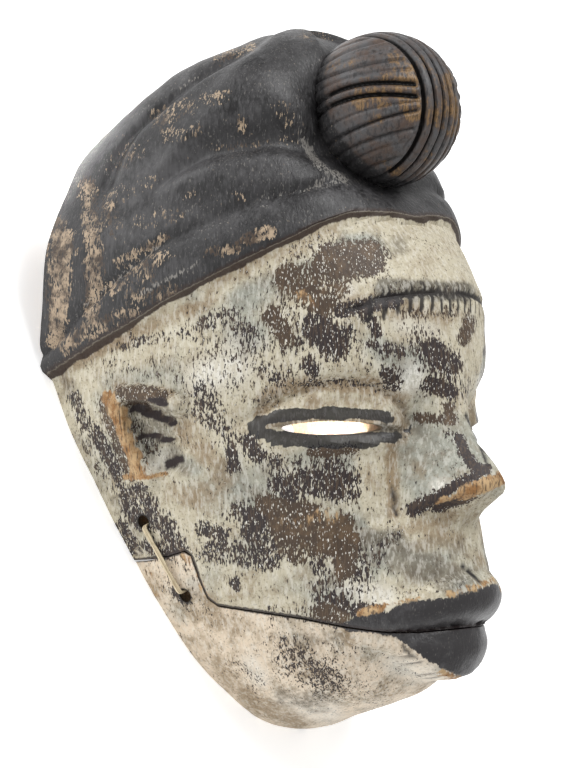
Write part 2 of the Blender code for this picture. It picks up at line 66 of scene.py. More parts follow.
# Level, half width, front, centre of the section, depth behind the centre
HEAD = [
    (114.5, 0, 60, 57, 40), (108.5, 27, 80, 56, 40), (98, 44, 91, 52, 44),
    (80, 57, 97.5, 40, 52), (60, 65, 104, 30, 75), (41, 70, 112, 24, 90),
    (20, 70, 119.5, 22, 95), (0, 68.5, 122.5, 22, 95), (-20, 66, 119, 24, 95),
    (-40, 61.8, 117, 27, 95), (-60, 57.2, 118, 34, 95), (-80, 51.2, 119.5, 44, 95),
    (-100, 42, 112, 56, 95), (-111, 32.5, 101, 62, 95), (-117, 25.5, 85, 62, 90),
    (-121.5, 17.5, 72, 62, 80), (-124.5, 0, 62, 60, 60),
]

# Turn from the front in degrees, level of the line there
HAIRLINE = [
    (0, 48.4), (11, 49.4), (23, 49.0), (33, 45.6), (43, 39.6), (54, 32.6), (64, 25.4),
    (71, 20.2), (79, 13.2), (87, 7.2), (93, 2.4), (120, -16),
]
ROLL_CREASE = [(0, 62), (28, 60), (39, 56.1), (49, 52.8), (61, 45.8), (71, 39.2), (81, 29),
               (89, 19.7), (97, 9), (120, -12)]
TRESS_VALLEY = [(0, 71), (37, 71.8), (46, 72.8), (55, 71.2), (65, 68.9), (72, 64), (80, 50)]
# Level, distance forward of the valley behind the top tress
REAR_VALLEY = [(40, 22), (56, 24.4), (68, 26), (77, 29.7), (86.4, 40), (94.6, 48.6), (106, 62)]
HAIR_STEP = 2.6

# Level, height of the muzzle over the plain face, and its half width
MUZZLE = [(-26, 0, 22), (-36, 3.5, 23), (-43, 7, 25), (-50, 9, 28), (-57, 9.4, 32),
          (-62, 10, 35), (-67, 10.8, 39), (-74, 10.6, 43), (-79, 9.6, 47), (-84, 8.2, 49),
          (-92, 6.2, 46), (-100, 3.6, 40), (-106, 1.6, 36), (-113, 0, 34)]
# Level, height of the nose ridge over the face and muzzle
NOSE_RIDGE = [(4, 0), (-4, 1.2), (-12, 4.2), (-20, 8.6), (-28.5, 13.8), (-32.5, 16.6), (-36, 17.7),
              (-39, 16.2), (-43, 10.4), (-47, 4), (-52, 0)]
# Level, half width of the nose at its foot
NOSE_WIDTH = [(4, 8), (-10, 13.5), (-25, 18), (-44, 21.5), (-55, 20)]
WING_DROP = 0.36
# Distance from the middle, middle level and half height of the upper lip
UPPER_LIP = [(0, -76.5, 8.2), (10, -76.8, 8.0), (20, -79, 7.0), (30, -82, 4.8), (40, -84.2, 2.4),
             (46, -84.5, 1.0)]
UPPER_LIP_HEIGHT = [(0, 4.2), (15, 4.4), (28, 3.6), (40, 1.6), (46, 0)]
# Distance from the middle, top and bottom level of the lower lip
LOWER_LIP = [(0, -84.3, -105.2), (8, -85.2, -103.8), (16, -86.2, -99), (26, -86, -93.5),
             (36, -84.6, -89), (44, -84, -86)]
# Share of the way down the lower lip, its height over the plain face there
LOWER_LIP_ROLL = [(0, 0), (0.08, 2.4), (0.2, 4.0), (0.5, 8.4), (0.75, 10.6), (0.9, 11.6),
                  (0.985, 4), (1, 0)]

# The jaw's seam in side view: distance forward, level
SEAM = [(10, -66.8), (35.8, -64.7), (46, -62.9), (52.1, -61.1), (54.7, -62.6), (56.2, -69),
        (58.6, -76.6), (62.1, -78.9), (66.8, -79.5), (78.5, -80.8), (91, -82.4), (104, -84.9),
        (114, -86.5), (121, -86.6), (130, -85.6), (137, -84.3), (160, -82.8)]

# Ear and tie holes in side view: distance forward, level
EAR_RIDGE = [(55, -13.5), (50, -10.8), (43, -9.2), (36.5, -9.4), (33, -12.5), (34.4, -21),
             (38, -30.5), (42, -38)]
EAR_STROKES = [[(38, -13.5), (47, -16), (56, -20.5)], [(41.5, -22), (48, -24.5), (55, -26)]]
UPPER_HOLE = (37.5, -52.1)
LOWER_HOLE = (49.4, -76.4)

# Eye in front view: distance from the middle, level
EYE = (34.5, -21.0)
EYE_TURN = 42.0
LID_CREASE = [(16, -19), (20, -15.5), (26, -10.5), (33, -7.2), (40, -6.4), (47, -9), (53, -15),
              (57, -20)]
BROW_LINE = [(0, 22.6), (13, 23.2), (25, 21.6), (33, 19.4), (41, 15.5), (46, 11)]

# Hair knot: centre level, distance forward, radius, and its grooves on the unit ball
KNOT = (85.0, 92.5, 26.3)
# Place, depth and half width of each groove that rings the knot
KNOT_SLICES = [(0.07, 1.3, 0.02), (0.225, 1.4, 0.02), (0.385, 2.0, 0.03)]
# Level, rise and bend towards the front, depth and half width of each groove on its cheeks
KNOT_SIDE_GROOVES = [
    (-0.86, 0.32, 0, 0.7, 0.018), (-0.72, 0.34, 0, 0.4, 0.014), (-0.585, 0.33, 0, 0.8, 0.018),
    (-0.405, 0.366, 0, 0.95, 0.02), (-0.22, 0.36, 0.1, 0.45, 0.014), (0.02, 0.3, 0.25, 1.6, 0.026),
    (0.175, 0.3, 0.25, 1.6, 0.026), (0.30, 0.26, 0.1, 0.4, 0.014), (0.42, 0.235, 0, 0.75, 0.018),
    (0.56, 0.30, 0, 0.4, 0.014), (0.70, 0.36, 0, 0.6, 0.016), (0.84, 0.3, 0, 0.4, 0.014),
]

# The main view: turn from the front, the point looked at and its distance, and in parts of
# the picture its height, its middle and the length of the lens
SIGHT_TURN = math.radians(52)
SIGHT_MIDDLE = (0.0, -6.5, 52.0)
SIGHT_DISTANCE = 1000.0
SIGHT_HEIGHT = 768
SIGHT_CENTRE = (288.0, 384.0)
SIGHT_LENS = 2915.45

# Worn and painted places, laid out as strokes in the main view. Each row is a stroke:
# from x, y to x, y, its half width, and its strength; above 1 it stays solid to its edge.
BARE_BROWN = [
    (102, 402, 120, 452, 5, .7), (120, 452, 130, 474, 4, .7), (120, 391, 164, 394, 5, .95),
    (124, 400, 146, 402, 6, .8), (404, 312, 454, 312, 4, .55), (330, 264, 368, 259, 19, 1),
    (288, 278, 335, 288, 15, .9), (300, 292, 325, 306, 12, 1), (272, 316, 284, 332, 10, .9),
    (266, 506, 310, 514, 11, 1), (285, 527, 342, 543, 19, 1), (342, 528, 346, 568, 12, 1),
    (282, 548, 300, 556, 8, .8), (322, 612, 342, 614, 10, .95), (470, 322, 464, 338, 6, .9),
    (418, 418, 450, 421, 4, 1), (446, 404, 452, 420, 4, .9), (312, 452, 356, 449, 5, .8),
    (444, 505, 470, 497, 4, 1),
]
BARE_DARK = [
    (340, 311, 396, 300, 7, .95), (300, 384, 345, 381, 2, .6), (345, 381, 384, 388, 2, .6),
    (174, 592, 186, 601, 3, .9), (134, 510, 142, 528, 4, .8), (318, 328, 334, 344, 17, 1),
    (308, 362, 313, 371, 7, .9), (346, 330, 350, 337, 6, .8), (372, 322, 378, 332, 5, .8),
    (368, 344, 402, 352, 4, .75), (432, 350, 450, 366, 12, .95), (430, 384, 450, 391, 8, .9),
    (387, 374, 395, 383, 7, .9), (250, 444, 258, 455, 9, .9), (232, 450, 234, 466, 6, .85),
    (203, 393, 214, 424, 11, .62), (225, 430, 229, 440, 8, .6), (275, 460, 283, 470, 7, .7),
    (300, 480, 345, 488, 14, .78), (332, 466, 352, 480, 9, .7), (278, 484, 292, 496, 9, .75),
    (204, 528, 222, 536, 8, .72), (214, 552, 270, 560, 13, .62), (250, 514, 263, 522, 9, .8),
    (250, 530, 268, 546, 11, .74), (364, 556, 368, 590, 6, .55), (318, 562, 322, 600, 9, .55),
    (352, 562, 356, 578, 8, .62), (360, 610, 376, 613, 9, .9), (334, 598, 344, 606, 6, .8),
    (164, 524, 178, 546, 10, .78), (150, 546, 168, 553, 7, .85), (150, 503, 152, 522, 8, .8),
    (138, 488, 150, 505, 6, .8), (93, 428, 124, 485, 7, .68), (128, 498, 136, 518, 9, .78),
    (122, 528, 134, 550, 8, .7), (74, 398, 86, 426, 6, .75), (122, 346, 165, 336, 5, .5),
    (165, 336, 205, 326, 5, .5), (207, 322, 230, 316, 8, .62), (246, 330, 262, 346, 9, .5),
    (262, 372, 280, 380, 7, .55), (412, 510, 440, 496, 5, 1.3), (440, 494, 488, 469, 2.4, 1.7),
    (436, 508, 462, 500, 2.2, 1.4), (459, 438, 466, 455, 3, 1.8), (466, 455, 474, 466, 3.4, 1.8),
    (474, 466, 488, 470, 2.2, 1.7), (380, 545, 396, 535, 7, .45), (362, 550, 380, 556, 6, .45),
    (234, 582, 236, 586, 4, .9), (362, 316, 368, 313, 4, .7), (196, 412, 200, 420, 6, .5),
    (448, 432, 452, 436, 3, .6),
]
SPECKLE = [
    (390, 288, 464, 291, 6, .5), (176, 410, 186, 440, 10, .4), (126, 420, 150, 450, 10, .9),
    (284, 288, 292, 338, 20, .9), (215, 345, 265, 372, 32, .65), (240, 330, 262, 350, 13, .85),
    (196, 385, 222, 432, 18, .75), (270, 362, 300, 380, 15, .6), (230, 378, 262, 396, 13, .7),
    (235, 440, 262, 456, 12, .8), (275, 466, 350, 468, 9, .8), (275, 488, 350, 488, 10, 1.1),
    (215, 550, 285, 552, 15, 1), (205, 530, 225, 536, 8, 1.1), (240, 512, 262, 540, 13, 1.1),
    (346, 545, 364, 588, 9, .85), (326, 572, 346, 602, 15, .85), (380, 562, 400, 592, 10, .35),
    (320, 604, 345, 618, 9, 1), (400, 594, 460, 582, 6, .5), (292, 656, 332, 680, 19, 1),
    (228, 662, 256, 682, 9, .45), (130, 512, 190, 558, 18, .5), (95, 440, 128, 500, 16, .6),
    (422, 346, 456, 392, 18, .9), (360, 350, 395, 372, 13, .75), (120, 372, 190, 372, 20, .4),
    (272, 612, 330, 618, 5, .7), (350, 345, 330, 300, 18, .5), (205, 318, 235, 314, 8, .8),
    (270, 640, 300, 646, 8, .4), (340, 690, 380, 700, 10, .4), (150, 560, 200, 610, 10, .35),
    (300, 250, 330, 246, 12, .5), (372, 250, 384, 270, 8, .6), (330, 655, 370, 690, 12, .4),
]
# Beige-brown stains, partly painted shade: the strokes along the hairline, in the inner corner of
# the eye and down the side of the nose darken the chalk where shade falls.
STAIN_AND_SHADE = [
    (268, 423, 392, 421, 3, 1), (120, 392, 166, 394, 6, .9), (60, 352, 66, 380, 5, .6),
    (72, 364, 130, 337, 7, .9), (130, 335, 208, 302, 7, .8), (210, 288, 262, 260, 7, .75),
    (262, 257, 332, 230, 8, .6), (262, 398, 284, 388, 6, .9), (284, 388, 330, 384, 7, 1),
    (330, 384, 380, 386, 7, 1), (380, 386, 398, 398, 6, .9), (270, 402, 384, 401, 6, .5),
    (258, 412, 276, 402, 5, .9), (384, 424, 398, 438, 9, 1), (392, 440, 393, 512, 4.5, 1),
    (402, 398, 402, 430, 6, .8), (418, 546, 452, 537, 9, .75), (458, 543, 480, 558, 8, .6),
    (400, 530, 446, 526, 8, .7), (186, 430, 224, 478, 14, .75), (172, 492, 216, 500, 14, .6),
    (190, 600, 232, 628, 14, .6), (244, 694, 300, 724, 9, .9), (296, 660, 334, 682, 20, .55),
    (200, 640, 240, 694, 11, .6), (345, 632, 350, 642, 4, 1), (330, 650, 345, 690, 14, .35),
    (392, 312, 458, 315, 8, .7), (345, 305, 400, 302, 9, .75), (400, 286, 462, 288, 6, .5),
    (240, 592, 300, 600, 14, .4), (108, 470, 128, 505, 7, .4), (270, 640, 340, 648, 9, .35),
    (145, 560, 160, 600, 8, .4), (432, 522, 474, 516, 8, .6), (310, 376, 352, 372, 8, .3),
    (398, 562, 452, 574, 15, .5), (368, 538, 396, 544, 9, .6), (360, 470, 384, 500, 10, .4),
    (410, 455, 450, 470, 14, .3), (284, 694, 322, 700, 9, .55), (376, 690, 430, 690, 9, .35),
    (160, 440, 178, 470, 8, .5), (120, 528, 134, 560, 7, .5), (240, 575, 300, 580, 10, .3),
]
GREY_CHALK = [
    (240, 292, 330, 262, 20, .8), (345, 246, 400, 240, 10, .9), (385, 350, 405, 365, 20, .9),
    (410, 440, 470, 450, 30, 1), (420, 480, 440, 470, 22, .95), (215, 490, 260, 480, 26, .55),
    (380, 560, 460, 572, 20, .9), (200, 310, 250, 335, 16, .6), (100, 395, 170, 380, 16, .45),
    (365, 535, 385, 560, 16, .8), (220, 560, 300, 575, 18, .35), (300, 460, 340, 465, 14, .6),
    (325, 590, 340, 605, 14, .5), (170, 455, 195, 468, 9, .8), (150, 440, 175, 425, 12, .5),
]
CREAM_CHALK = [
    (400, 235, 462, 262, 20, 1), (372, 445, 382, 520, 12, 1), (395, 330, 455, 330, 12, .9),
    (300, 378, 345, 372, 14, .8), (90, 358, 160, 345, 12, .6), (220, 285, 330, 240, 10, .9),
    (440, 515, 482, 508, 10, 1), (470, 350, 478, 400, 8, 1), (440, 585, 470, 560, 8, .4),
]
# Painted highlights: pale spots of the whitest chalk where light glints, on the temple, the brow,
# the lip and the jaw.
PALE_HIGHLIGHTS = [
    (203, 377, 236, 367, 14, .8), (396, 386, 412, 376, 12, .9), (350, 590, 384, 597, 9, .8),
    (332, 299, 347, 291, 6, .9), (436, 486, 444, 484, 4, .9), (236, 345, 226, 360, 10, .4),
    (150, 468, 164, 458, 7, .7), (280, 705, 330, 712, 10, .6), (400, 322, 430, 330, 8, .4),
    (395, 665, 440, 675, 8, .5), (250, 662, 262, 680, 5, .6), (195, 585, 200, 592, 5, .5),
]
GOLDEN = [
    (464, 493, 500, 479, 6.5, 1), (438, 501, 466, 494, 2.4, .75), (360, 613, 384, 607, 4, .85),
    (388, 604, 420, 598, 2, .6), (450, 595, 476, 587, 4.5, .62), (482, 584, 496, 578, 4.5, .6),
    (108, 398, 117, 414, 7, 1), (118, 416, 128, 446, 6, 1), (130, 446, 138, 474, 6, 1),
    (126, 478, 164, 474, 3, .9), (444, 674, 462, 681, 5, .7), (392, 700, 426, 698, 10, .35),
    (301, 295, 313, 303, 7, .55), (182, 552, 190, 562, 4, .6), (190, 562, 206, 594, 3, .5),
    (144, 562, 160, 600, 3, .4), (296, 520, 330, 516, 10, .4), (262, 510, 290, 524, 8, .35),
]
# Dark grey-green film over the chalk, partly painted shade: the strokes round the eye, in its inner
# corner and in the ear's recess darken the chalk where shade falls.
SMOKE_AND_SHADE = [
    (268, 423, 300, 423, 2.5, .5), (384, 426, 398, 436, 6, .9), (128, 420, 150, 450, 12, .7),
    (256, 404, 276, 398, 4, .5), (395, 552, 455, 582, 17, .75), (366, 540, 396, 538, 8, 1),
    (372, 556, 392, 552, 5, .8), (404, 450, 444, 456, 12, .35), (325, 250, 400, 246, 9, .55),
    (250, 290, 300, 268, 12, .4), (150, 428, 178, 462, 12, .6), (128, 405, 170, 412, 6, .7),
    (400, 408, 430, 440, 8, .5), (410, 545, 470, 548, 8, .5), (284, 696, 322, 700, 9, .5),
    (345, 640, 400, 632, 4, .35), (120, 500, 150, 545, 9, .5), (240, 300, 300, 285, 10, .3),
    (300, 640, 340, 640, 8, .35), (380, 356, 402, 372, 10, .4), (360, 520, 384, 512, 7, .4),
    (60, 370, 80, 400, 6, .4), (322, 570, 346, 600, 14, .35), (225, 470, 262, 500, 12, .35),
    (384, 288, 466, 292, 7, 1.5),
]
HAIR_WEAR = [
    (160, 117, 186, 108, 10, .62), (164, 134, 194, 132, 7, .5), (206, 100, 226, 96, 6, .62),
    (88, 186, 94, 250, 9, .8), (94, 250, 92, 332, 9, .82), (108, 200, 112, 230, 8, .55),
    (56, 226, 66, 250, 9, .9), (64, 236, 56, 340, 9, 1), (50, 240, 50, 300, 4, .6),
    (84, 332, 66, 348, 8, .8), (118, 262, 166, 238, 4, .85), (134, 268, 164, 256, 8, .66),
    (246, 240, 270, 232, 6, .9), (208, 253, 236, 248, 5, .75), (216, 60, 252, 46, 5, .6),
    (300, 33, 332, 37, 4, .4), (240, 120, 246, 136, 5, .5), (234, 194, 240, 198, 5, .45),
    (190, 196, 200, 204, 5, .4), (120, 160, 136, 150, 10, .4), (280, 110, 296, 130, 12, .35),
    (210, 149, 290, 141, 3, .5), (130, 300, 170, 290, 10, .55), (90, 330, 130, 312, 9, .7),
    (116, 196, 150, 182, 8, .4), (140, 222, 176, 214, 8, .4), (104, 290, 150, 272, 9, .6),
]
KNOT_GOLD = [
    (366, 88, 402, 84, 12, .85), (360, 102, 386, 101, 8, .85), (394, 60, 410, 76, 8, .7),
    (398, 96, 413, 112, 9, .8), (413, 68, 417, 104, 4, 1), (424, 88, 428, 120, 5, .6),
    (438, 108, 441, 126, 6, .8), (448, 80, 454, 130, 8, .7), (326, 69, 352, 62, 6, .5),
    (314, 84, 318, 96, 6, .66), (388, 164, 397, 172, 6, .6), (428, 155, 436, 161, 5, .5),
    (420, 60, 440, 84, 5, .6), (372, 118, 380, 122, 7, .5),
]
CRUST = [
    (296, 110, 303, 140, 4, .5), (303, 140, 318, 165, 4, .8), (318, 165, 346, 181, 4, .7),
    (346, 181, 366, 184, 3, .5), (318, 180, 344, 176, 3, .6), (262, 199, 340, 182, 1.3, .7),
    (84, 306, 110, 285, 1.6, .7), (110, 285, 165, 241, 1.4, .7), (300, 92, 296, 112, 5, .4),
    (60, 205, 80, 168, 6, .6), (80, 168, 112, 128, 3, .5), (130, 118, 200, 76, 1.6, .5),
    (268, 205, 150, 252, 1.4, .4), (310, 66, 345, 46, 2, .5), (140, 294, 200, 262, 1.8, .8),
]
# Painted sheen: lighter grey on the hair where soft light glances off it, most along the left side.
HAIR_SHEEN = [
    (48, 230, 84, 160, 9, .9), (84, 160, 136, 112, 9, .8), (136, 112, 190, 80, 8, .5),
    (130, 190, 190, 160, 22, .75), (110, 240, 160, 212, 16, .6), (230, 170, 290, 165, 16, .4),
    (200, 120, 280, 80, 18, .35), (330, 190, 420, 196, 10, .5), (120, 290, 190, 262, 8, .5),
    (190, 225, 280, 205, 8, .45), (350, 205, 440, 212, 6, .35), (240, 60, 300, 45, 10, .3),
]
EAR_CUTS = [
    (124, 406, 140, 409, 1.2, 1), (138, 408, 156, 415, 3, 1), (154, 414, 174, 422, 3, 1),
    (136, 433, 152, 436, 2, 1), (150, 435, 172, 440, 2.4, 1), (150, 400, 166, 404, 3, .8),
    (168, 464, 182, 459, 3.4, .8),
]
# Level, and distance past the middle up to which the main view shows the far side there
IN_SIGHT = [(60, 36), (30, 31), (10, 24), (0, 18), (-8, 12), (-16, 8), (-30, 7), (-60, 8),
            (-100, 8), (-112, 12)]
LID_BLACK = [
    (258, 421, 282, 415, 5, 1), (282, 415, 318, 414, 5.5, 1), (318, 414, 362, 414, 6, 1),
    (362, 414, 389, 419, 5.5, 1), (254, 430, 276, 438, 6, 1), (276, 438, 320, 440, 8, 1),
    (320, 440, 372, 440, 8, 1), (372, 440, 396, 436, 5.5, 1), (254, 425, 262, 432, 6, 1),
    (402, 434, 414, 425, 1.5, .8),
]
# Painted borders of the lips: across, down
LIP_TOP = [(300, 640), (340, 624), (352, 619), (366, 612), (385, 612), (395, 607), (413, 601),
           (440, 598), (455, 592), (485, 586), (510, 580)]
LIP_BOTTOM = [(330, 627), (345, 630), (385, 636), (402, 641), (420, 655), (440, 668), (462, 681),
              (480, 700), (510, 740)]
# Cracks and creases, cut in and painted black; the black in the creases, as down the side of the
# nose, is painted shade.
CRACKS_AND_CREASES = [
    (465, 414, 476, 434, .9, 1), (476, 434, 487, 465, .9, 1), (462, 566, 480, 582, 1.1, 1),
    (486, 556, 497, 574, .9, .8), (402, 646, 418, 662, 1.3, .8), (418, 662, 438, 683, 1.2, .8),
    (391, 490, 396, 514, 1.4, .9),
]


def sizes():
    return bpy.context.scene.mask_sizes


def colours():
    return bpy.context.scene.mask_colours


def unit():
    """One 239th of the mask's height, in metres."""
    return sizes().height / SHARES


# Curves and soft steps

def curve_through(table, column=1):
    """Smooth curve through a table of stations that never overshoots them."""
    rows = sorted(table)
    x = np.array([row[0] for row in rows], float)
    y = np.array([row[column] for row in rows], float)
    step = np.diff(x)
    slope = np.diff(y) / step
    tangent = np.zeros_like(y)
    same = slope[:-1] * slope[1:] > 0
    w1, w2 = 2 * step[1:] + step[:-1], step[1:] + 2 * step[:-1]
    lower = np.where(same, slope[:-1], 1)
    upper = np.where(same, slope[1:], 1)
    tangent[1:-1] = np.where(same, (w1 + w2) / (w1 / lower + w2 / upper), 0)
    tangent[0], tangent[-1] = slope[0], slope[-1]

    def at(value):
        value = np.clip(np.asarray(value, float), x[0], x[-1])
        i = np.clip(np.searchsorted(x, value, side="right") - 1, 0, len(x) - 2)
        h = step[i]
        t = (value - x[i]) / h
        return (y[i] * (1 + 2 * t) * (1 - t) ** 2 + tangent[i] * h * t * (1 - t) ** 2
                + y[i + 1] * t * t * (3 - 2 * t) + tangent[i + 1] * h * t * t * (t - 1))
    return at


def smooth(start, end, value):
    """0 before start and 1 after end, with a soft step between."""
    t = np.clip((value - start) / (end - start), 0, 1)
    return t * t * (3 - 2 * t)


def flank(points):
    """Distance from the middle plane, level, and distance forward of each point."""
    return np.abs(points[:, 0]), points[:, 1], points[:, 2]


def bump(distance, width):
    """1 at no distance, falling away within about the width."""
    return np.exp(-(distance / width) ** 2)


def line_distance(points, u, v):
    """Distance in a plane from each point to a line of straight runs."""
    best = np.full(u.shape, 1e9)
    for (u0, v0), (u1, v1) in zip(points[:-1], points[1:]):
        du, dv = u1 - u0, v1 - v0
        t = np.clip(((u - u0) * du + (v - v0) * dv) / (du * du + dv * dv), 0, 1)
        best = np.minimum(best, np.hypot(u - u0 - t * du, v - v0 - t * dv))
    return best


def ripple(points, length, seed):
    """Slow uneven swell over the surface, from -1 to 1, as a hand tool leaves it."""
    waves = np.random.default_rng(seed)
    total = np.zeros(len(points))
    for _ in range(9):
        way = waves.normal(size=3)
        way /= np.linalg.norm(way)
        rate = 2 * math.pi / (length * waves.uniform(0.7, 1.6))
        total += np.sin(points @ way * rate + waves.uniform(0, 2 * math.pi))
    return total / 4.5


# The carved form

class Head:
    """The plain egg of the head, made smaller all round by an inset."""

    def __init__(self, inset=0.0):
        rows = []
        self.middle, self.reach = MIDDLE, REACH - inset
        for level, width, front, centre, rear in HEAD:
            turn = math.asin(max(-1.0, min(1.0, (level - MIDDLE) / REACH)))
            rows.append((turn, max(math.cos(turn), 1e-3), width, front - centre, centre, rear))
        last = len(rows) - 1
        wide = [(r[0], r[2] / r[1]) for r in rows]
        deep = [(r[0], r[3] / r[1]) for r in rows]
        wide[0], wide[last] = (rows[0][0], wide[1][1]), (rows[last][0], wide[last - 1][1])
        deep[0], deep[last] = (rows[0][0], deep[1][1]), (rows[last][0], deep[last - 1][1])
        self.wide = curve_through([(t, w - inset) for t, w in wide])
        self.deep = curve_through([(t, d - inset) for t, d in deep])
        self.centre = curve_through([(r[0], r[4]) for r in rows])
        self.rear = curve_through([(r[0], r[5]) for r in rows])

    def points(self, direction):
        up = np.clip(direction[:, 1], -1, 1)
        turn = np.arcsin(up)
        flat = np.hypot(direction[:, 0], direction[:, 2])
        safe = np.where(flat > 1e-9, flat, 1)
        side = np.where(flat > 1e-9, direction[:, 0] / safe, 0)
        ahead = np.where(flat > 1e-9, direction[:, 2] / safe, 1)
        k = (np.abs(side) ** SQUARENESS + np.abs(ahead) ** SQUARENESS) ** (-1 / SQUARENESS)
        level = np.cos(turn)
        depth = np.where(ahead >= 0, self.deep(turn), self.rear(turn))
        return np.stack([self.wide(turn) * level * side * k,
                         self.middle + self.reach * up,
                         self.centre(turn) + depth * level * ahead * k], 1)

    def normals(self, direction):
        across = np.cross(direction, np.array([0.0, 1.0, 0.0]) + 1e-6)
        across /= np.linalg.norm(across, axis=1)[:, None]
        along = np.cross(direction, across)
        steps = []
        for way in (across, along):
            ends = []
            for sign in (1, -1):
                moved = direction + sign * 0.004 * way
                ends.append(self.points(moved / np.linalg.norm(moved, axis=1)[:, None]))
            steps.append(ends[0] - ends[1])
        normal = np.cross(steps[0], steps[1])
        normal /= np.linalg.norm(normal, axis=1)[:, None] + 1e-12
        return normal * np.sign((normal * direction).sum(1))[:, None]

    def round_from_front(self, points):
        """Turn from the front in degrees, and how far out of the egg's middle line."""
        turn = np.arcsin(np.clip((points[:, 1] - MIDDLE) / REACH, -1, 1))
        side = np.abs(points[:, 0]) / self.wide(turn)
        ahead = points[:, 2] - self.centre(turn)
        ahead = ahead / np.where(ahead >= 0, self.deep(turn), self.rear(turn))
        out = np.sqrt(side ** 2 + ahead ** 2 + ((points[:, 1] - MIDDLE) / REACH) ** 2)
        return np.degrees(np.arctan2(side, ahead)), out


def hair_relief(turn, x, y, z):
    """Height of the hair over the plain head: step, roll, tresses and their valleys."""
    over = y - curve_through(HAIRLINE)(turn)
    crease = curve_through(ROLL_CREASE)(turn)
    valley = curve_through(TRESS_VALLEY)(turn)
    rear = curve_through(REAR_VALLEY)(y)
    height = HAIR_STEP * (smooth(-0.9, 0.9, over) - smooth(-24, -2, over) / 2
                          - smooth(6, 26, over) / 2)
    share = np.clip(over / np.maximum(crease - curve_through(HAIRLINE)(turn), 1), 0, 1)
    height += 0.8 * np.sin(math.pi * share) - crown_dip(y)
    past = y - crease
    height += smooth(20, 34, turn) * (0.9 * smooth(-0.5, 5, past) - 1.2 * bump(past, 1.5))
    above = y - valley
    width = np.where(above > 0, 7.0, 3.2)
    fade = smooth(18, 34, turn) * (1 - smooth(68, 79, turn)) * smooth(30, 50, y)
    height += fade * (-4.4 * bump(above, width) + 1.4 * smooth(3, 16, above))
    behind = z - rear
    fade = smooth(48, 62, y) * smooth(30, 44, np.abs(x))
    height += fade * (-1.9 * bump(behind, np.where(behind > 0, 4.5, 2.2))
                      + 1.2 * smooth(0, 8, behind))
    height += 3.4 * smooth(55, 80, y) * (1 - smooth(94, 110, y)) * smooth(2, -12, behind)
    return height - knot_dip(x, y, z)


def crown_dip(y):
    return 1.8 * smooth(30, 60, y)


def knot_dip(x, y, z):
    """How far the hair sinks in round the foot of the knot."""
    away = np.sqrt(x ** 2 + (y - KNOT[0]) ** 2 + (z - KNOT[1]) ** 2)
    return (9.5 - 7 * smooth(95, 111, y)) * bump(away - 20, 16)


def ear_relief(x, y, z):
    away = line_distance(EAR_RIDGE, z, y)
    height = 3.3 * np.sqrt(np.clip(1 - (away / (3.7 - 1.0 * smooth(-14, -9, y))) ** 4, 0, 1))
    inner = smooth(31, 38, z - 0.30 * (-9 - y) + 1.5) * (1 - smooth(50, 63, z))
    inner *= smooth(-38.6, -36.4, y + 0.17 * (41 - z)) * (1 - smooth(-12, -8, y))
    height -= 3.3 * inner * smooth(2.0, 4.6, away)
    for stroke in EAR_STROKES:
        height -= 1.3 * bump(line_distance(stroke, z, y), 1.2)
    near = smooth(24, 30, z) * (1 - smooth(62, 68, z)) * smooth(-46, -40, y)
    return height * near * (1 - smooth(-5, -2, y))


def eye_relief(x, y):
    """Sunk socket, crease over the lid and the swell of both lids."""
    across = (x - EYE[0]) / 19.5
    body = np.clip(1 - across ** 2, 0, 1)
    height = -3.6 * bump(x - 33, 21) * bump(y + 17, 10.5)
    crease = curve_through(LID_CREASE)(x)
    reach = smooth(14, 20, x) * (1 - smooth(54, 60, x))
    height -= 2.2 * reach * bump(y - crease, np.where(y > crease, 2.6, 1.5))
    upper = (y - (EYE[1] + 1.4)) / 9.0
    height += 4.0 * np.sqrt(body) * np.where(upper > 0, bump(upper, 0.72), bump(upper, 0.16))
    lower = (y - (EYE[1] - 4.2)) / 4.2
    height += 2.8 * np.sqrt(body) * bump(lower, 0.72)
    corner = np.hypot(x - 15.5, (y - EYE[1]) * 1.2)
    return height - 2.0 * bump(corner, 3.6)


def brow_ticks(x, y):
    """Depth of the short cuts above and below the brow line, from 0 to 1."""
    above = y - curve_through(BROW_LINE)(np.abs(x))
    lean = x + 0.22 * above
    spaced = 4.0 + 0.25 * np.sin(x * 0.7)
    cut = bump((lean / spaced - np.round(lean / spaced)) * spaced, 0.8)
    upper = 0.75 * smooth(0.6, 1.6, above) * (1 - smooth(4.0, 5.4, above))
    lean = x - 0.12 * above
    lower_cut = bump((lean / 4.6 - np.round(lean / 4.6)) * 4.6, 0.9)
    lower = smooth(-0.6, -1.6, above) * (1 - smooth(-6.0, -7.4, above))
    return (upper * cut + lower * lower_cut) * (1 - smooth(32, 40, np.abs(x)))


def brow_relief(x, y):
    line = curve_through(BROW_LINE)(x)
    reach = 1 - smooth(34, 45, x)
    return reach * (1.3 * bump(y - line, 6.5) - 1.6 * bump(y - line, 1.0))


def nose_relief(x, y):
    low = smooth(-22, -40, y + WING_DROP * x)
    level = y + WING_DROP * x * low
    share = np.clip(x / curve_through(NOSE_WIDTH)(level), 0, 1)
    level = np.where(level < -37, -37 + (level + 37) * (1 + 1.3 * smooth(4, 16, x)), level)
    foot = bump(x - curve_through(NOSE_WIDTH)(y), 3.6) * smooth(-8, -16, y) * smooth(-54, -46, y)
    return curve_through(NOSE_RIDGE)(level) * (1 - share ** (1.25 + 0.95 * low)) - 1.5 * foot


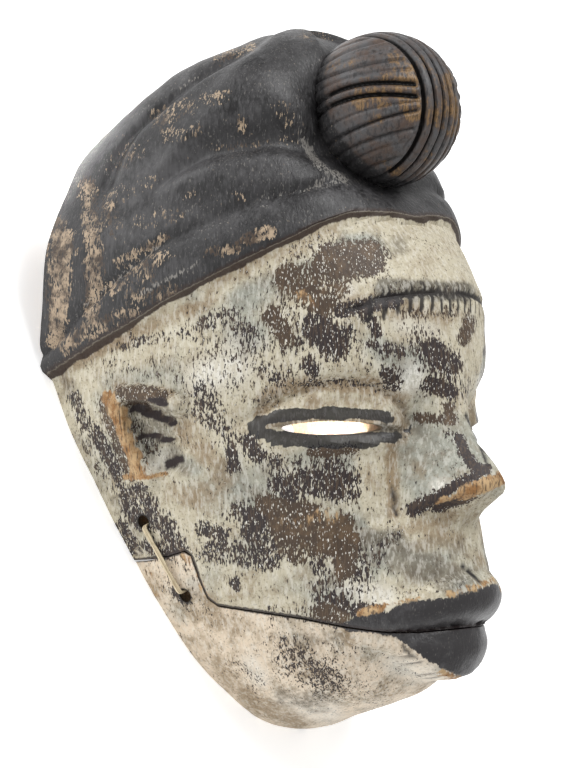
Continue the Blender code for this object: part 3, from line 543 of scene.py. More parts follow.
def muzzle_relief(x, y):
    high, wide = curve_through(MUZZLE, 1)(y), curve_through(MUZZLE, 2)(y)
    height = high * np.clip(1 - (x / wide) ** 2, 0, 1) ** 1.25
    gutter = smooth(-50, -55, y) * (1 - smooth(-66, -72, y))
    height -= 1.6 * gutter * bump(x, 4.2)
    mid, half = curve_through(UPPER_LIP, 1)(x), curve_through(UPPER_LIP, 2)(x)
    away = np.clip(np.abs(y - mid) / half, 0, 1)
    height += curve_through(UPPER_LIP_HEIGHT)(x) * np.sqrt(1 - away ** 2)
    top, bottom = curve_through(LOWER_LIP, 1)(x), curve_through(LOWER_LIP, 2)(x)
    down = np.clip((top - y) / (top - bottom), 0, 1)
    lip = curve_through(LOWER_LIP_ROLL)(down) * (1 - smooth(4, 42, x)) ** 0.9
    return height + lip


def carve(head, direction, jaw_inset):
    """Points of the carved outer surface for unit directions."""
    base, normal = head.points(direction), head.normals(direction)
    x, y, z = flank(base)
    turn = np.degrees(np.arctan2(np.abs(direction[:, 0]), direction[:, 2]))
    front = smooth(40, 60, z)
    out = hair_relief(turn, x, y, z) + ear_relief(x, y, z) * smooth(40, 52, x)
    out = out + (eye_relief(x, y) + brow_relief(x, y)) * front
    seam = curve_through(SEAM)(z)
    out = out - jaw_inset * smooth(0.2, -0.2, y - seam)
    out = out - 0.75 * brow_ticks(base[:, 0], y) * front
    out = out - 0.16 - 0.16 * ripple(base, 13, 5) - 0.05 * ripple(base, 4.5, 8)
    point = base + normal * out[:, None]
    point[:, 2] += (nose_relief(x, y) + muzzle_relief(x, y)) * smooth(60, 82, z)
    place = sight(point)
    cuts = stroke_field(CRACKS_AND_CREASES, *place, 0.4) * (1 - far_share(point))
    return point - normal * (0.55 * cuts)[:, None]


def knot_points(direction):
    """The hair knot: a ball sliced by grooves, with arched grooves on both cheeks."""
    radius = np.full(len(direction), KNOT[2]) - 0.12 - 0.12 * ripple(direction * KNOT[2], 9, 3)
    radius -= knot_groove(direction)
    points = direction * radius[:, None]
    points[:, 1] += KNOT[0]
    points[:, 2] += KNOT[1]
    return points


def knot_groove(direction):
    """Depth of the grooves of the knot."""
    x, y, z = flank(direction)
    depth = np.zeros(len(x))
    front = smooth(-0.35, 0.1, z)
    for place, deep, wide in KNOT_SLICES:
        depth += deep * front * bump(x - place, wide)
    cheek = smooth(0.42, 0.49, x)
    for level, rise, bend, deep, wide in KNOT_SIDE_GROOVES:
        depth += deep * cheek * bump(y - level - rise * z + bend * z * z, wide * 1.3)
    return depth


# The main view

def sight_axes():
    turn = SIGHT_TURN
    back = np.array([-math.sin(turn), 0, math.cos(turn)])
    right = np.array([math.cos(turn), 0, math.sin(turn)])
    return back, right


def sight(points):
    """Where points of the upright mask are seen in the main view."""
    back, right = sight_axes()
    offset = points - np.array(SIGHT_MIDDLE)
    scale = SIGHT_LENS / (SIGHT_DISTANCE - offset @ back)
    return SIGHT_CENTRE[0] + offset @ right * scale, SIGHT_CENTRE[1] - offset[:, 1] * scale


def stroke_field(strokes, across, down, soft=1.0):
    """The strongest of the strokes at each point, fading out over each one's edge."""
    field = np.zeros(len(across))
    for x0, y0, x1, y1, half, strength in strokes:
        away = line_distance([(x0, y0), (x1, y1)], across, down)
        fade = 1 - smooth(half * (1 - 0.45 * soft), half * (1 + 0.3 * soft) + 3.0 * soft, away)
        field = np.maximum(field, strength * fade)
    return field


def far_share(points):
    """1 where the main view can't see the far side of the face, 0 where it can."""
    edge = curve_through(IN_SIGHT)(points[:, 1])
    return smooth(0, 5, points[:, 0] - edge)


def seen_from_either_side(points):
    """Where points are seen in the main view, those out of its sight mirrored."""
    hidden = far_share(points)[:, None] > 0.5
    return sight(np.where(hidden, points * np.array([-1, 1, 1]), points))


def both_sides(strokes, points, soft=1.0):
    """Strokes on the side that is seen, and the same ones mirrored on the far side."""
    mirrored = points * np.array([-1, 1, 1])
    near = stroke_field(strokes, *sight(points), soft)
    far = stroke_field(strokes, *sight(mirrored), soft)
    share = far_share(points)
    return near * (1 - share) + far * share


# Mesh work

def select_only(obj):
    bpy.ops.object.select_all(action='DESELECT')
    obj.select_set(True)
    bpy.context.view_layer.objects.active = obj


@contextmanager
def editing(obj, start='SELECT'):
    """Edit mode on one object, with everything in it selected or deselected first."""
    select_only(obj)
    bpy.ops.object.mode_set(mode='EDIT')
    bpy.ops.mesh.select_all(action=start)
    yield
    bpy.ops.object.mode_set(mode='OBJECT')


def turn_faces_out():
    bpy.ops.mesh.select_all(action='SELECT')
    bpy.ops.mesh.normals_make_consistent(inside=False)


def added(name, operator, **options):
    """The object that an add operator makes, under a name of its own."""
    bpy.ops.object.select_all(action='DESELECT')
    operator(**options)
    obj = bpy.context.object
    obj.name = obj.data.name = name
    return obj


def ball(name, steps):
    """A cube divided into a grid; the unit directions of its points."""
    obj = added(name, bpy.ops.mesh.primitive_cube_add, size=2)
    with editing(obj):
        bpy.ops.mesh.subdivide(number_cuts=steps - 1)
    co = np.tan(read_points(obj) * math.pi / 4)
    return obj, co / np.linalg.norm(co, axis=1)[:, None]


def read_points(obj):
    co = np.empty(len(obj.data.vertices) * 3)
    obj.data.vertices.foreach_get("co", co)
    return co.reshape(-1, 3)


def write_points(obj, points):
    obj.data.vertices.foreach_set("co", points.astype(np.float32).ravel())
    obj.data.update()


def drop_points(obj, spare):
    """Deletes the points that are marked, and their faces."""
    with editing(obj, 'DESELECT'):
        bpy.ops.mesh.select_mode(type='VERT')
    obj.data.vertices.foreach_set("select", spare)
    bpy.ops.object.mode_set(mode='EDIT')
    bpy.ops.mesh.delete(type='VERT')
    bpy.ops.object.mode_set(mode='OBJECT')


def slice_off(obj, normal):
    """Cuts flat through the origin and closes the cut."""
    with editing(obj):
        bpy.ops.mesh.bisect(plane_co=(0, 0, 0), plane_no=normal, use_fill=True,
                            clear_inner=True, threshold=1e-7)
        turn_faces_out()


def combine(obj, other, operation):
    """Boolean with another closed shape, which is then removed."""
    select_only(obj)
    mod = obj.modifiers.new("cut", 'BOOLEAN')
    mod.operation = operation
    mod.solver = 'MANIFOLD'
    mod.object = other
    bpy.ops.object.modifier_apply(modifier=mod.name)
    bpy.data.objects.remove(other)
    if not obj.data.polygons:
        raise RuntimeError("nothing is left of " + obj.name)


def rod(name, sides, radius, length, matrix):
    obj = added(name, bpy.ops.mesh.primitive_cylinder_add, vertices=sides, radius=radius,
                depth=length)
    obj.data.transform(matrix)
    if matrix.determinant() < 0:
        obj.data.flip_normals()
    return obj


def side_block(name, outline, half_width):
    """A side-view outline of (forward, level) points carried right across the mask."""
    obj = added(name, bpy.ops.mesh.primitive_circle_add, vertices=len(outline), radius=1,
                fill_type='NGON')
    size = unit()
    write_points(obj, np.array([(-half_width, y * size, z * size) for z, y in outline]))
    with editing(obj):
        bpy.ops.mesh.extrude_region_move(
            TRANSFORM_OT_translate={"value": (2 * half_width, 0, 0)})
        turn_faces_out()
    return obj


def lying_matrix():
    """From the upright mask to how it lies: tipped back onto the rim of its hollow side."""
    return (Matrix.Translation((0, sizes().lying_shift, 0))
            @ Matrix.Rotation(sizes().rim_angle, 4, 'X'))


def upright_points(obj):
    """Points of a finished piece in shares of the height, with the mask upright."""
    back = np.array(lying_matrix().inverted())
    return (read_points(obj) @ back[:3, :3].T + back[:3, 3]) / unit()


def side_point(head, forward, level):
    """Point of the plain head on the left side, from its side view."""
    up = (level - head.middle) / head.reach
    turn = np.linspace(0.2, math.pi - 0.2, 4000)
    flat = math.sqrt(max(1 - up * up, 0))
    ways = np.stack([flat * np.sin(turn), np.full(len(turn), up), flat * np.cos(turn)], 1)
    points = head.points(ways)
    best = int(np.argmin(np.abs(points[:, 2] - forward)))
    return Vector(points[best]), Vector(head.normals(ways[best:best + 1])[0])


def frame_matrix(origin, x_axis, y_axis, z_axis):
    turn = Matrix((x_axis, y_axis, z_axis)).transposed()
    return Matrix.Translation(origin) @ turn.to_4x4()


def tie_frame(head):
    """Left tie: both holes, direction along it, straight out, and the bulge between."""
    top, normal_top = side_point(head, *UPPER_HOLE)
    low, normal_low = side_point(head, *LOWER_HOLE)
    along = (low - top).normalized()
    out = normal_top + normal_low
    out = (out - along * out.dot(along)).normalized()
    swell = 0.0
    for share in np.linspace(0, 1, 21):
        z = UPPER_HOLE[0] + share * (LOWER_HOLE[0] - UPPER_HOLE[0])
        y = UPPER_HOLE[1] + share * (LOWER_HOLE[1] - UPPER_HOLE[1])
        swell = max(swell, (side_point(head, z, y)[0] - top).dot(out))
    return top * unit(), low * unit(), along, out, swell * unit()


def carved_block(name, steps, jaw):
    """The carved outside of the whole head, with points well past the rim dropped; only the jaw's
    part of it, or all but the jaw.
    """
    head, size = Head(), unit()
    block, direction = ball(name, steps)
    points = carve(head, direction, sizes().jaw_inset / size)
    write_points(block, points * size)
    slope = math.tan(sizes().rim_angle)
    y, z = points[:, 1], points[:, 2]
    spare = (z < -y * slope - 5) | (z < y * sizes().crown_slope - 5)
    seam = curve_through(SEAM)(z)
    spare |= (y > seam + 5) if jaw else (y < seam - 5) & (z > 20)
    drop_points(block, spare)
    return block, head, slope


def close_holes(obj):
    """Fills the open border of the kept part with faces."""
    with editing(obj, 'DESELECT'):
        bpy.ops.mesh.select_mode(type='EDGE')
        bpy.ops.mesh.select_non_manifold(extend=False)
        bpy.ops.mesh.fill(use_beauty=False)
        turn_faces_out()


def hollow_ball():
    size, wall = unit(), sizes().wall / unit()
    inner = Head(wall)
    hollow, direction = ball("hollow", 40)
    points = inner.points(direction)
    x, y, z = flank(points)
    dip = knot_dip(x, y, z + wall) + crown_dip(y)
    gouged = 0.35 * ripple(points * np.array([1, 0.35, 1]), 11, 4)
    write_points(hollow, (points - inner.normals(direction) * (dip + gouged)[:, None]) * size)
    return hollow


def seam_outline(shift):
    low = BOTTOM - 20
    above = [(z, y) for z, y in SEAM] + [(SEAM[-1][0], low), (SEAM[0][0], low)]
    moved = [(z - shift, y - shift) for z, y in above]
    moved[len(SEAM) - 1] = (SEAM[-1][0], SEAM[-1][1] - shift)
    return moved


def bore_tie_holes(block, head, places):
    top, low, along, out, swell = tie_frame(head)
    for side in (-1, 1):
        flip = Matrix.Diagonal((side, 1, 1, 1))
        for place in places:
            spot = top if place == "upper" else low
            matrix = flip @ frame_matrix(spot, along, along.cross(out) * -1, out)
            combine(block, rod("tie_hole", 24, sizes().hole_diameter / 2, sizes().wall * 4, matrix),
                    'DIFFERENCE')


def store(obj, name, values):
    attribute = obj.data.attributes.new(name, 'FLOAT', 'POINT')
    attribute.data.foreach_set("value", np.asarray(values, np.float32))


def store_wear_and_painted_light(obj):
    """Writes what the materials need at each point: where hair, lips, lids and wear are, and where
    shade, sheen and highlights are painted.
    """
    points = upright_points(obj)
    head = Head()
    x, y, z = flank(points)
    turn, out = head.round_from_front(points)
    over = np.where(turn > 150, 20, y - curve_through(HAIRLINE)(turn))
    knot_way = points - np.array([0, KNOT[0], KNOT[1]])
    away = np.linalg.norm(knot_way, axis=1)
    on_knot = smooth(27.2, 26.6, away) * smooth(0.98, 1.0, out)
    direction = knot_way / away[:, None]
    store(obj, "hair", np.clip(np.where(on_knot > 0.5, 20, over), -20, 20))
    store(obj, "knot", on_knot)
    store(obj, "groove", np.clip(knot_groove(direction), 0, 1.5) * on_knot)
    depth = (1 - out) * 60 + 2.0 * smooth(45, 60, y) * smooth(40, 60, z)
    dip = knot_dip(x, y, z) + crown_dip(y)
    store(obj, "inside", smooth(3.5, 5.5, depth - dip))
    across, down = seen_from_either_side(points)
    lip = np.minimum(down - curve_through(LIP_TOP)(across),
                     curve_through(LIP_BOTTOM)(across) - down)
    store(obj, "lip", np.clip(np.where(z > 70, lip * 0.35, -9), -9, 9))
    seam = line_distance(SEAM, z, y)
    store(obj, "seam", np.clip(seam, 0, 9))
    holes = [np.hypot(z - hole[0], y - hole[1]) for hole in (UPPER_HOLE, LOWER_HOLE)]
    store(obj, "hole", smooth(2.9, 2.4, np.minimum(*holes)) * smooth(40, 48, x))
    front = smooth(40, 60, z)
    line = np.abs(y - curve_through(BROW_LINE)(x))
    brow = np.maximum(brow_ticks(points[:, 0], y), bump(line, 1.3) * (1 - smooth(34, 45, x)))
    store(obj, "brow", brow * front)
    for name, strokes, soft in (
            ("brown", BARE_BROWN, 1), ("dark", BARE_DARK, 1), ("speckle", SPECKLE, 1.6),
            ("stain", STAIN_AND_SHADE, 1.8), ("grey", GREY_CHALK, 1.8), ("cream", CREAM_CHALK, 1.8),
            ("pale", PALE_HIGHLIGHTS, 1.6), ("golden", GOLDEN, 0.8), ("hair_wear", HAIR_WEAR, 1),
            ("knot_gold", KNOT_GOLD, 1), ("crust", CRUST, 0.8), ("painted_sheen", HAIR_SHEEN, 1.5),
            ("smoke_and_shade", SMOKE_AND_SHADE, 1.5), ("lid", LID_BLACK, 0.3), ("ear_cut", EAR_CUTS, 1),
            ("crack_and_crease_shade", CRACKS_AND_CREASES, 0.4)):
        store(obj, name, both_sides(strokes, points, soft))


# Node helpers

class Nodes:
    """Builds a material's nodes with short calls."""

    def __init__(self, name):
        self.material = bpy.data.materials.new(name)
        self.material.use_nodes = True
        self.tree = self.material.node_tree
        self.shader = self.tree.nodes["Principled BSDF"]

    def link(self, value, socket):
        if isinstance(value, bpy.types.NodeSocket):
            self.tree.links.new(value, socket)
        elif hasattr(value, "__len__"):
            socket.default_value = (*value, 1.0)
        else:
            socket.default_value = value

    def math(self, operation, *values):
        node = self.tree.nodes.new("ShaderNodeMath")
        node.operation = operation
        for value, socket in zip(values, node.inputs):
            self.link(value, socket)
        return node.outputs[0]

    def step(self, value, start, end):
        """0 before start and 1 after end, with a soft step between."""
        node = self.tree.nodes.new("ShaderNodeMapRange")
        node.interpolation_type = 'SMOOTHSTEP'
        self.link(value, node.inputs["Value"])
        self.link(start, node.inputs["From Min"])
        self.link(end, node.inputs["From Max"])
        return node.outputs[0]

    def times(self, value, factor, plus=None):
        """The value times the factor, and plus the last value if one is given."""
        if plus is None:
            return self.math('MULTIPLY', value, factor)
        return self.math('MULTIPLY_ADD', value, factor, plus)

    def blend(self, share, below, above):
        node = self.tree.nodes.new("ShaderNodeMix")
        node.data_type = 'RGBA'
        self.link(share, node.inputs[0])
        self.link(below, node.inputs[6])
        self.link(above, node.inputs[7])
        return node.outputs[2]

    def coat(self, below, above, value, start, end, most=1.0):
        """A colour laid over another where a value has gone from start to end."""
        share = self.step(value, start, end)
        return self.blend(share if most == 1.0 else self.times(share, most), below, above)

    def attribute(self, name):
        node = self.tree.nodes.new("ShaderNodeAttribute")
        node.attribute_name = name
        return node.outputs["Fac"]

    def place(self, scale=(1, 1, 1)):
        """Object coordinates in millimetres, turned upright with the mask."""
        coords = self.tree.nodes.new("ShaderNodeTexCoord")
        first = self.tree.nodes.new("ShaderNodeMapping")
        first.inputs["Rotation"].default_value = (-sizes().rim_angle, 0, 0)
        first.inputs["Scale"].default_value = (1000, 1000, 1000)
        self.tree.links.new(coords.outputs["Object"], first.inputs["Vector"])
        second = self.tree.nodes.new("ShaderNodeMapping")
        second.inputs["Scale"].default_value = scale
        self.tree.links.new(first.outputs["Vector"], second.inputs["Vector"])
        return second.outputs["Vector"]

    def noise(self, place, size, detail=3.0, rough=0.55, warp=0.0):
        """Noise whose grains are about size millimetres across."""
        node = self.tree.nodes.new("ShaderNodeTexNoise")
        self.link(place, node.inputs["Vector"])
        node.inputs["Scale"].default_value = 1 / size
        node.inputs["Detail"].default_value = detail
        node.inputs["Roughness"].default_value = rough
        node.inputs["Distortion"].default_value = warp
        return node.outputs["Fac"]

    def sway(self, value, *noises):
        """The value made uneven by each noise, up or down by about the amount after it."""
        for noise, amount in zip(noises[::2], noises[1::2]):
            value = self.times(self.math('SUBTRACT', noise, 0.5), amount * 6, value)
        return value

    def surface(self, colour, roughness, height, depth, specular=0.5):
        bump_node = self.tree.nodes.new("ShaderNodeBump")
        bump_node.inputs["Strength"].default_value = 1.0
        bump_node.inputs["Distance"].default_value = depth
        self.link(height, bump_node.inputs["Height"])
        self.link(bump_node.outputs["Normal"], self.shader.inputs["Normal"])
        self.link(colour, self.shader.inputs["Base Color"])
        self.link(roughness, self.shader.inputs["Roughness"])
        self.shader.inputs["Specular IOR Level"].default_value = specular
        return self.material


def painted_wood(name, cream):
    """Worn chalk paint over dark wood, with black hair and lips, on one piece of wood, and with
    painted shade, sheen and highlights.
    """
    n, c = Nodes(name), colours()
    upright = n.place()
    streaked = n.place((1, 0.30, 1))
    fibre = n.place((1, 0.12, 1))
    flake = n.noise(upright, 6.0, 5, 0.6, 0.3)
    streak = n.noise(streaked, 1.15, 3, 0.6)
    fleck = n.noise(streaked, 0.5, 2, 0.5)
    speck = n.noise(upright, 0.95, 2, 0.6)
    cloud = n.noise(upright, 24, 3, 0.6)
    mottle = n.noise(upright, 7, 5, 0.68)
    grain = n.noise(fibre, 0.7, 3, 0.6)

    # Chalk paint: cream and grey-green, stained and pale in places, with painted shade and painted
    # highlights
    grey = n.sway(n.attribute("grey"), cloud, 0.42)
    grey = n.sway(n.times(n.attribute("cream"), -0.9, grey), mottle, 0.2)
    chalk = n.coat(cream, c.chalk_grey, grey, -0.1, 0.9)
    chalk = n.coat(chalk, c.stain, mottle, 0.44, 0.64, 0.38)
    # Painted highlights: the whitest chalk colour laid where light glints.
    light = n.times(n.attribute("pale"), n.step(n.sway(0.5, streak, 0.3), 0.25, 0.6))
    chalk = n.blend(light, chalk, c.chalk_pale_and_highlight)
    # Stain strokes, partly painted shade along the hairline, in the inner corner of the eye and
    # beside the nose.
    dirt = n.sway(n.attribute("stain"), mottle, 0.26, streak, 0.04)
    chalk = n.coat(chalk, c.stain, dirt, 0.15, 0.95, 0.9)
    # Partly painted shade: the dark film also darkens the chalk where shade falls.
    smoke_and_shade = n.sway(n.attribute("smoke_and_shade"), mottle, 0.2, streak, 0.06)
    chalk = n.coat(chalk, c.smoke_and_shade, smoke_and_shade, 0.05, 1.0, 0.8)
    chalk = n.coat(chalk, c.stain_dark, speck, 0.54, 0.70, 0.5)
    chalk = n.coat(chalk, c.chalk_pale_and_highlight, streak, 0.52, 0.36, 0.30)

    # Bare wood under it
    brown = n.attribute("brown")
    dark = n.attribute("dark")
    warm = n.sway(n.math('SUBTRACT', brown, dark), flake, 0.22)
    wood = n.coat(c.dark_wood_and_seam_shade, c.wood_brown, warm, -0.15, 0.4)
    worn_wood = n.times(n.step(warm, 0.2, 1.0), n.step(mottle, 0.50, 0.64))
    wood = n.blend(n.times(worn_wood, 0.6), wood, c.wood_light)
    wood = n.coat(wood, c.wood_light, grain, 0.45, 0.66, 0.4)
    dots = n.step(n.noise(streaked, 0.42, 1, 0.5), 0.65, 0.70)
    dots = n.times(dots, n.step(dark, 1.3, 1.0))
    wood = n.blend(n.times(dots, 0.9), wood, c.chalk_pale_and_highlight)

    # Where paint is gone
    gone = n.times(n.math('MAXIMUM', brown, dark), 1.45, -0.22)
    gone = n.math('MAXIMUM', gone, n.times(n.attribute("speckle"), 0.75, -0.25))
    gone = n.sway(gone, flake, 0.16, streak, 0.40)
    gone = n.sway(gone, fleck, 0.55, cloud, 0.12)
    bare = n.step(gone, 0.46, 0.56)
    face = n.blend(bare, chalk, wood)

    # Golden wood where edges are rubbed
    rub = n.sway(n.attribute("golden"), streak, 0.2, mottle, 0.12)
    rubbed = n.step(rub, 0.38, 0.72)
    tan = n.coat(c.wood_golden, c.wood_tan, mottle, 0.4, 0.6)
    tan = n.coat(tan, c.wood_brown, grain, 0.5, 0.66, 0.8)
    face = n.blend(rubbed, face, tan)

    # Black: brow cuts, ear cuts, lids and lips, with painted sheen on the lips, and painted shade
    # in creases, along the jaw's seam and in the tie holes
    cut = n.step(n.sway(n.attribute("brow"), streak, 0.1), 0.3, 0.75)
    face = n.blend(n.times(cut, 0.92), face, c.cut_black_and_crease_shade)
    ear = n.step(n.sway(n.attribute("ear_cut"), flake, 0.3), 0.3, 0.7)
    face = n.blend(ear, face, c.dark_wood_and_seam_shade)
    lid = n.step(n.sway(n.attribute("lid"), streak, 0.13), 0.40, 0.62)
    paint = n.coat(c.lid_black, c.hair_bloom_and_sheen, streak, 0.5, 0.66, 0.45)
    face = n.blend(n.times(lid, 0.94), face, paint)
    edge = n.sway(n.attribute("lip"), flake, 0.7, streak, 0.6)
    lips = n.times(n.step(edge, -0.1, 0.4), n.times(rubbed, -0.9, 1.0))
    # Painted sheen: mottled grey over the black lips.
    lip = n.coat(c.lip_black, c.hair_bloom_and_sheen, mottle, 0.5, 0.68, 0.45)
    lip = n.coat(lip, c.hair_fleck, fleck, 0.62, 0.72, 0.4)
    face = n.blend(lips, face, lip)
    # Partly painted shade: black along the cracks and in the creases.
    face = n.blend(n.attribute("crack_and_crease_shade"), face, c.cut_black_and_crease_shade)
    # Painted shade: a dark line along the gap between jaw and mask, partly dark wood at the jaw's
    # edge.
    seam = n.step(n.sway(n.attribute("seam"), streak, 0.2, mottle, 0.15), 0.95, 0.45)
    face = n.blend(n.times(seam, 0.9), face, c.dark_wood_and_seam_shade)
    # Painted shade: near-black on the walls and rim of each tie hole.
    face = n.blend(n.attribute("hole"), face, c.groove_and_hole_shade)

    # Hair: charcoal with worn tan places and fine light flecks, painted sheen, and painted shade in
    # the knot's grooves and, in part, along the hair's edge
    over = n.attribute("hair")
    hair = n.coat(c.hair_black, c.hair_grey, n.sway(cloud, mottle, 0.1), 0.3, 0.7)
    hair = n.coat(hair, c.hair_grey, streak, 0.48, 0.62, 0.6)
    hair = n.coat(hair, c.hair_bloom_and_sheen, grain, 0.55, 0.68, 0.5)
    # Painted sheen: lighter grey laid over the hair along the sheen strokes.
    painted_sheen = n.sway(n.attribute("painted_sheen"), mottle, 0.2, streak, 0.2)
    hair = n.coat(hair, c.hair_bloom_and_sheen, painted_sheen, 0.1, 1.0, 0.7)
    hair = n.coat(hair, c.hair_fleck, n.sway(fleck, cloud, 0.05), 0.64, 0.72, 0.4)
    worn = n.times(n.attribute("hair_wear"), 1.25, -0.3)
    worn = n.sway(worn, flake, 0.2, streak, 0.4, fleck, 0.4)
    hair_tan = n.coat(c.hair_tan, c.wood_brown, mottle, 0.40, 0.6)
    hair = n.coat(hair, hair_tan, worn, 0.52, 0.60, 0.92)
    gap = n.times(n.step(fleck, 0.44, 0.36), n.step(n.attribute("hair_wear"), 0.2, 0.6))
    hair = n.blend(n.times(gap, 0.8), hair, c.hair_black)
    crust = n.sway(n.times(n.attribute("crust"), 1.0, -0.1), fleck, 0.3, mottle, 0.15)
    hair = n.coat(hair, c.hair_crust, crust, 0.45, 0.8, 0.7)
    knot = n.coat(c.hair_bloom_and_sheen, c.knot_brown, n.sway(0.5, mottle, 0.4), 0.2, 0.9)
    knot = n.coat(knot, c.hair_black, streak, 0.5, 0.34, 0.6)
    hair = n.blend(n.times(n.attribute("knot"), 0.8), hair, knot)
    shine = n.sway(n.attribute("knot_gold"), streak, 0.3, mottle, 0.2)
    gold = n.coat(c.knot_brown, c.knot_gold, n.sway(mottle, streak, 0.06), 0.42, 0.56)
    gold = n.coat(gold, c.hair_black, fleck, 0.5, 0.62, 0.6)
    hair = n.blend(n.times(n.attribute("knot"), n.step(shine, 0.38, 1.0)), hair, gold)
    # Painted shade: near-black in the bottoms of the knot's grooves.
    hair = n.coat(hair, c.groove_and_hole_shade, n.attribute("groove"), 0.45, 1.0)
    # Partly painted shadow: a dark brown band on the lowest hair and on the face just under the
    # hair's step.
    low_hair = n.times(n.step(n.sway(over, streak, 0.5), 2.4, 0.9), 0.8)
    hair = n.blend(low_hair, hair, c.hair_edge_and_shadow)
    on_hair = n.step(n.sway(over, streak, 0.15), 0.3, 0.9)
    under_edge = n.step(n.sway(over, cloud, 0.8, mottle, 0.5), -1.5, -0.9)
    under_edge = n.times(under_edge, n.math('SUBTRACT', 1.0, on_hair))
    face = n.blend(n.times(under_edge, 0.95), face, c.hair_edge_and_shadow)
    outside = n.blend(on_hair, face, hair)

    # The hollow side: plain wood, darkened by use
    inner = n.coat(c.inside_wood, c.inside_dark, n.noise(fibre, 3, 3, 0.6), 0.35, 0.7)
    inner = n.coat(inner, c.wood_brown, grain, 0.5, 0.7, 0.5)
    within = n.attribute("inside")
    colour = n.blend(within, outside, inner)

    rough = n.times(bare, -0.18, 0.72)
    rough = n.times(n.math('MAXIMUM', lips, lid), -0.36, rough)
    hair_rough = n.sway(0.46, streak, 0.08)
    rough = n.blend(on_hair, rough, hair_rough)
    rough = n.math('MAXIMUM', rough, n.times(within, 0.75))

    height = n.times(n.math('SUBTRACT', 1.0, bare), 0.5)
    height = n.times(height, n.math('SUBTRACT', 1.0, n.math('MAXIMUM', lips, on_hair)))
    height = n.times(streak, 0.8, height)
    height = n.times(grain, 0.5, height)
    height = n.times(mottle, 1.2, height)
    height = n.times(n.attribute("groove"), -1.2, height)
    return n.surface(colour, rough, height, 0.00025, 0.38)


def dry_cane(name):
    """Split cane: pale, with fine dark fibres along it."""
    n, c = Nodes(name), colours()
    coords = n.tree.nodes.new("ShaderNodeUVMap")
    stretched = n.tree.nodes.new("ShaderNodeMapping")
    stretched.inputs["Scale"].default_value = (3.0, 60.0, 1.0)
    n.link(coords.outputs["UV"], stretched.inputs["Vector"])
    fibres = n.noise(stretched.outputs["Vector"], 2.2, 4, 0.65)
    blotch = n.noise(n.place(), 3.0, 3, 0.6)
    colour = n.coat(c.cane_pale, c.cane_dark, fibres, 0.40, 0.66)
    colour = n.coat(colour, c.cane_dark, blotch, 0.5, 0.7, 0.5)
    return n.surface(colour, 0.5, fibres, 0.00012, 0.45)


# Properties

def shade(red, green, blue):
    """A display colour, 0 to 255, as the linear value that a shader takes."""
    values = []
    for value in (red, green, blue):
        v = value / 255
        values.append(v / 12.92 if v <= 0.04045 else ((v + 0.055) / 1.055) ** 2.4)
    return tuple(values)


def length(name, default, description):
    return FloatProperty(name=name, description=description, default=default, min=0.0,
                         unit='LENGTH', subtype='DISTANCE')


def colour(name, rgb, description):
    return FloatVectorProperty(name=name, description=description, default=shade(*rgb), size=3,
                               min=0.0, max=1.0, subtype='COLOR')


class MaskSizes(bpy.types.PropertyGroup):
    """Sizes of the carving."""
    height: length("Height", 0.239, "Height of the upright mask from chin to crown")
    wall: length("Wall", 0.009, "Thickness of the wood behind the face")
    seam_gap: length("Seam gap", 0.0005, "Room between the jaw and the mask along the seam")
    jaw_inset: length("Jaw inset", 0.0005, "How far the jaw's outside lies in from the cheeks")
    hole_diameter: length("Tie hole", 0.0046, "Diameter of the four holes for the ties")
    tie_width: length("Tie width", 0.0022, "Width of the cane strip")
    tie_thickness: length("Tie thickness", 0.0008, "Thickness of the cane strip")
    tie_clearance: length("Tie clearance", 0.0005, "Room between the strip and the wood")
    slit_length: length("Eye slit length", 0.033, "Length of each eye slit")
    slit_height: length("Eye slit height", 0.0043, "Height of each eye slit")
    rim_angle: FloatProperty(name="Rim angle", description="Slope of the lower rim's plane",
                             default=math.radians(25), subtype='ANGLE')
    crown_slope: FloatProperty(name="Crown rim slope", default=0.09,
                               description="Rise of the rim's plane over the crown")
    lying_shift: FloatProperty(name="Lying shift", default=0.03266, subtype='DISTANCE',
                               description="Moves the lying mask so that its box is centred")
    fineness: IntProperty(name="Fineness", default=190, min=40, max=240,
                          description="Grid steps over a quarter turn of the head")
    jaw_fineness: IntProperty(name="Jaw fineness", default=290, min=40, max=300,
                              description="Grid steps over a quarter turn of the jaw")
    knot_fineness: IntProperty(name="Knot fineness", default=110, min=20, max=120,
                               description="Grid steps over a quarter turn of the knot")


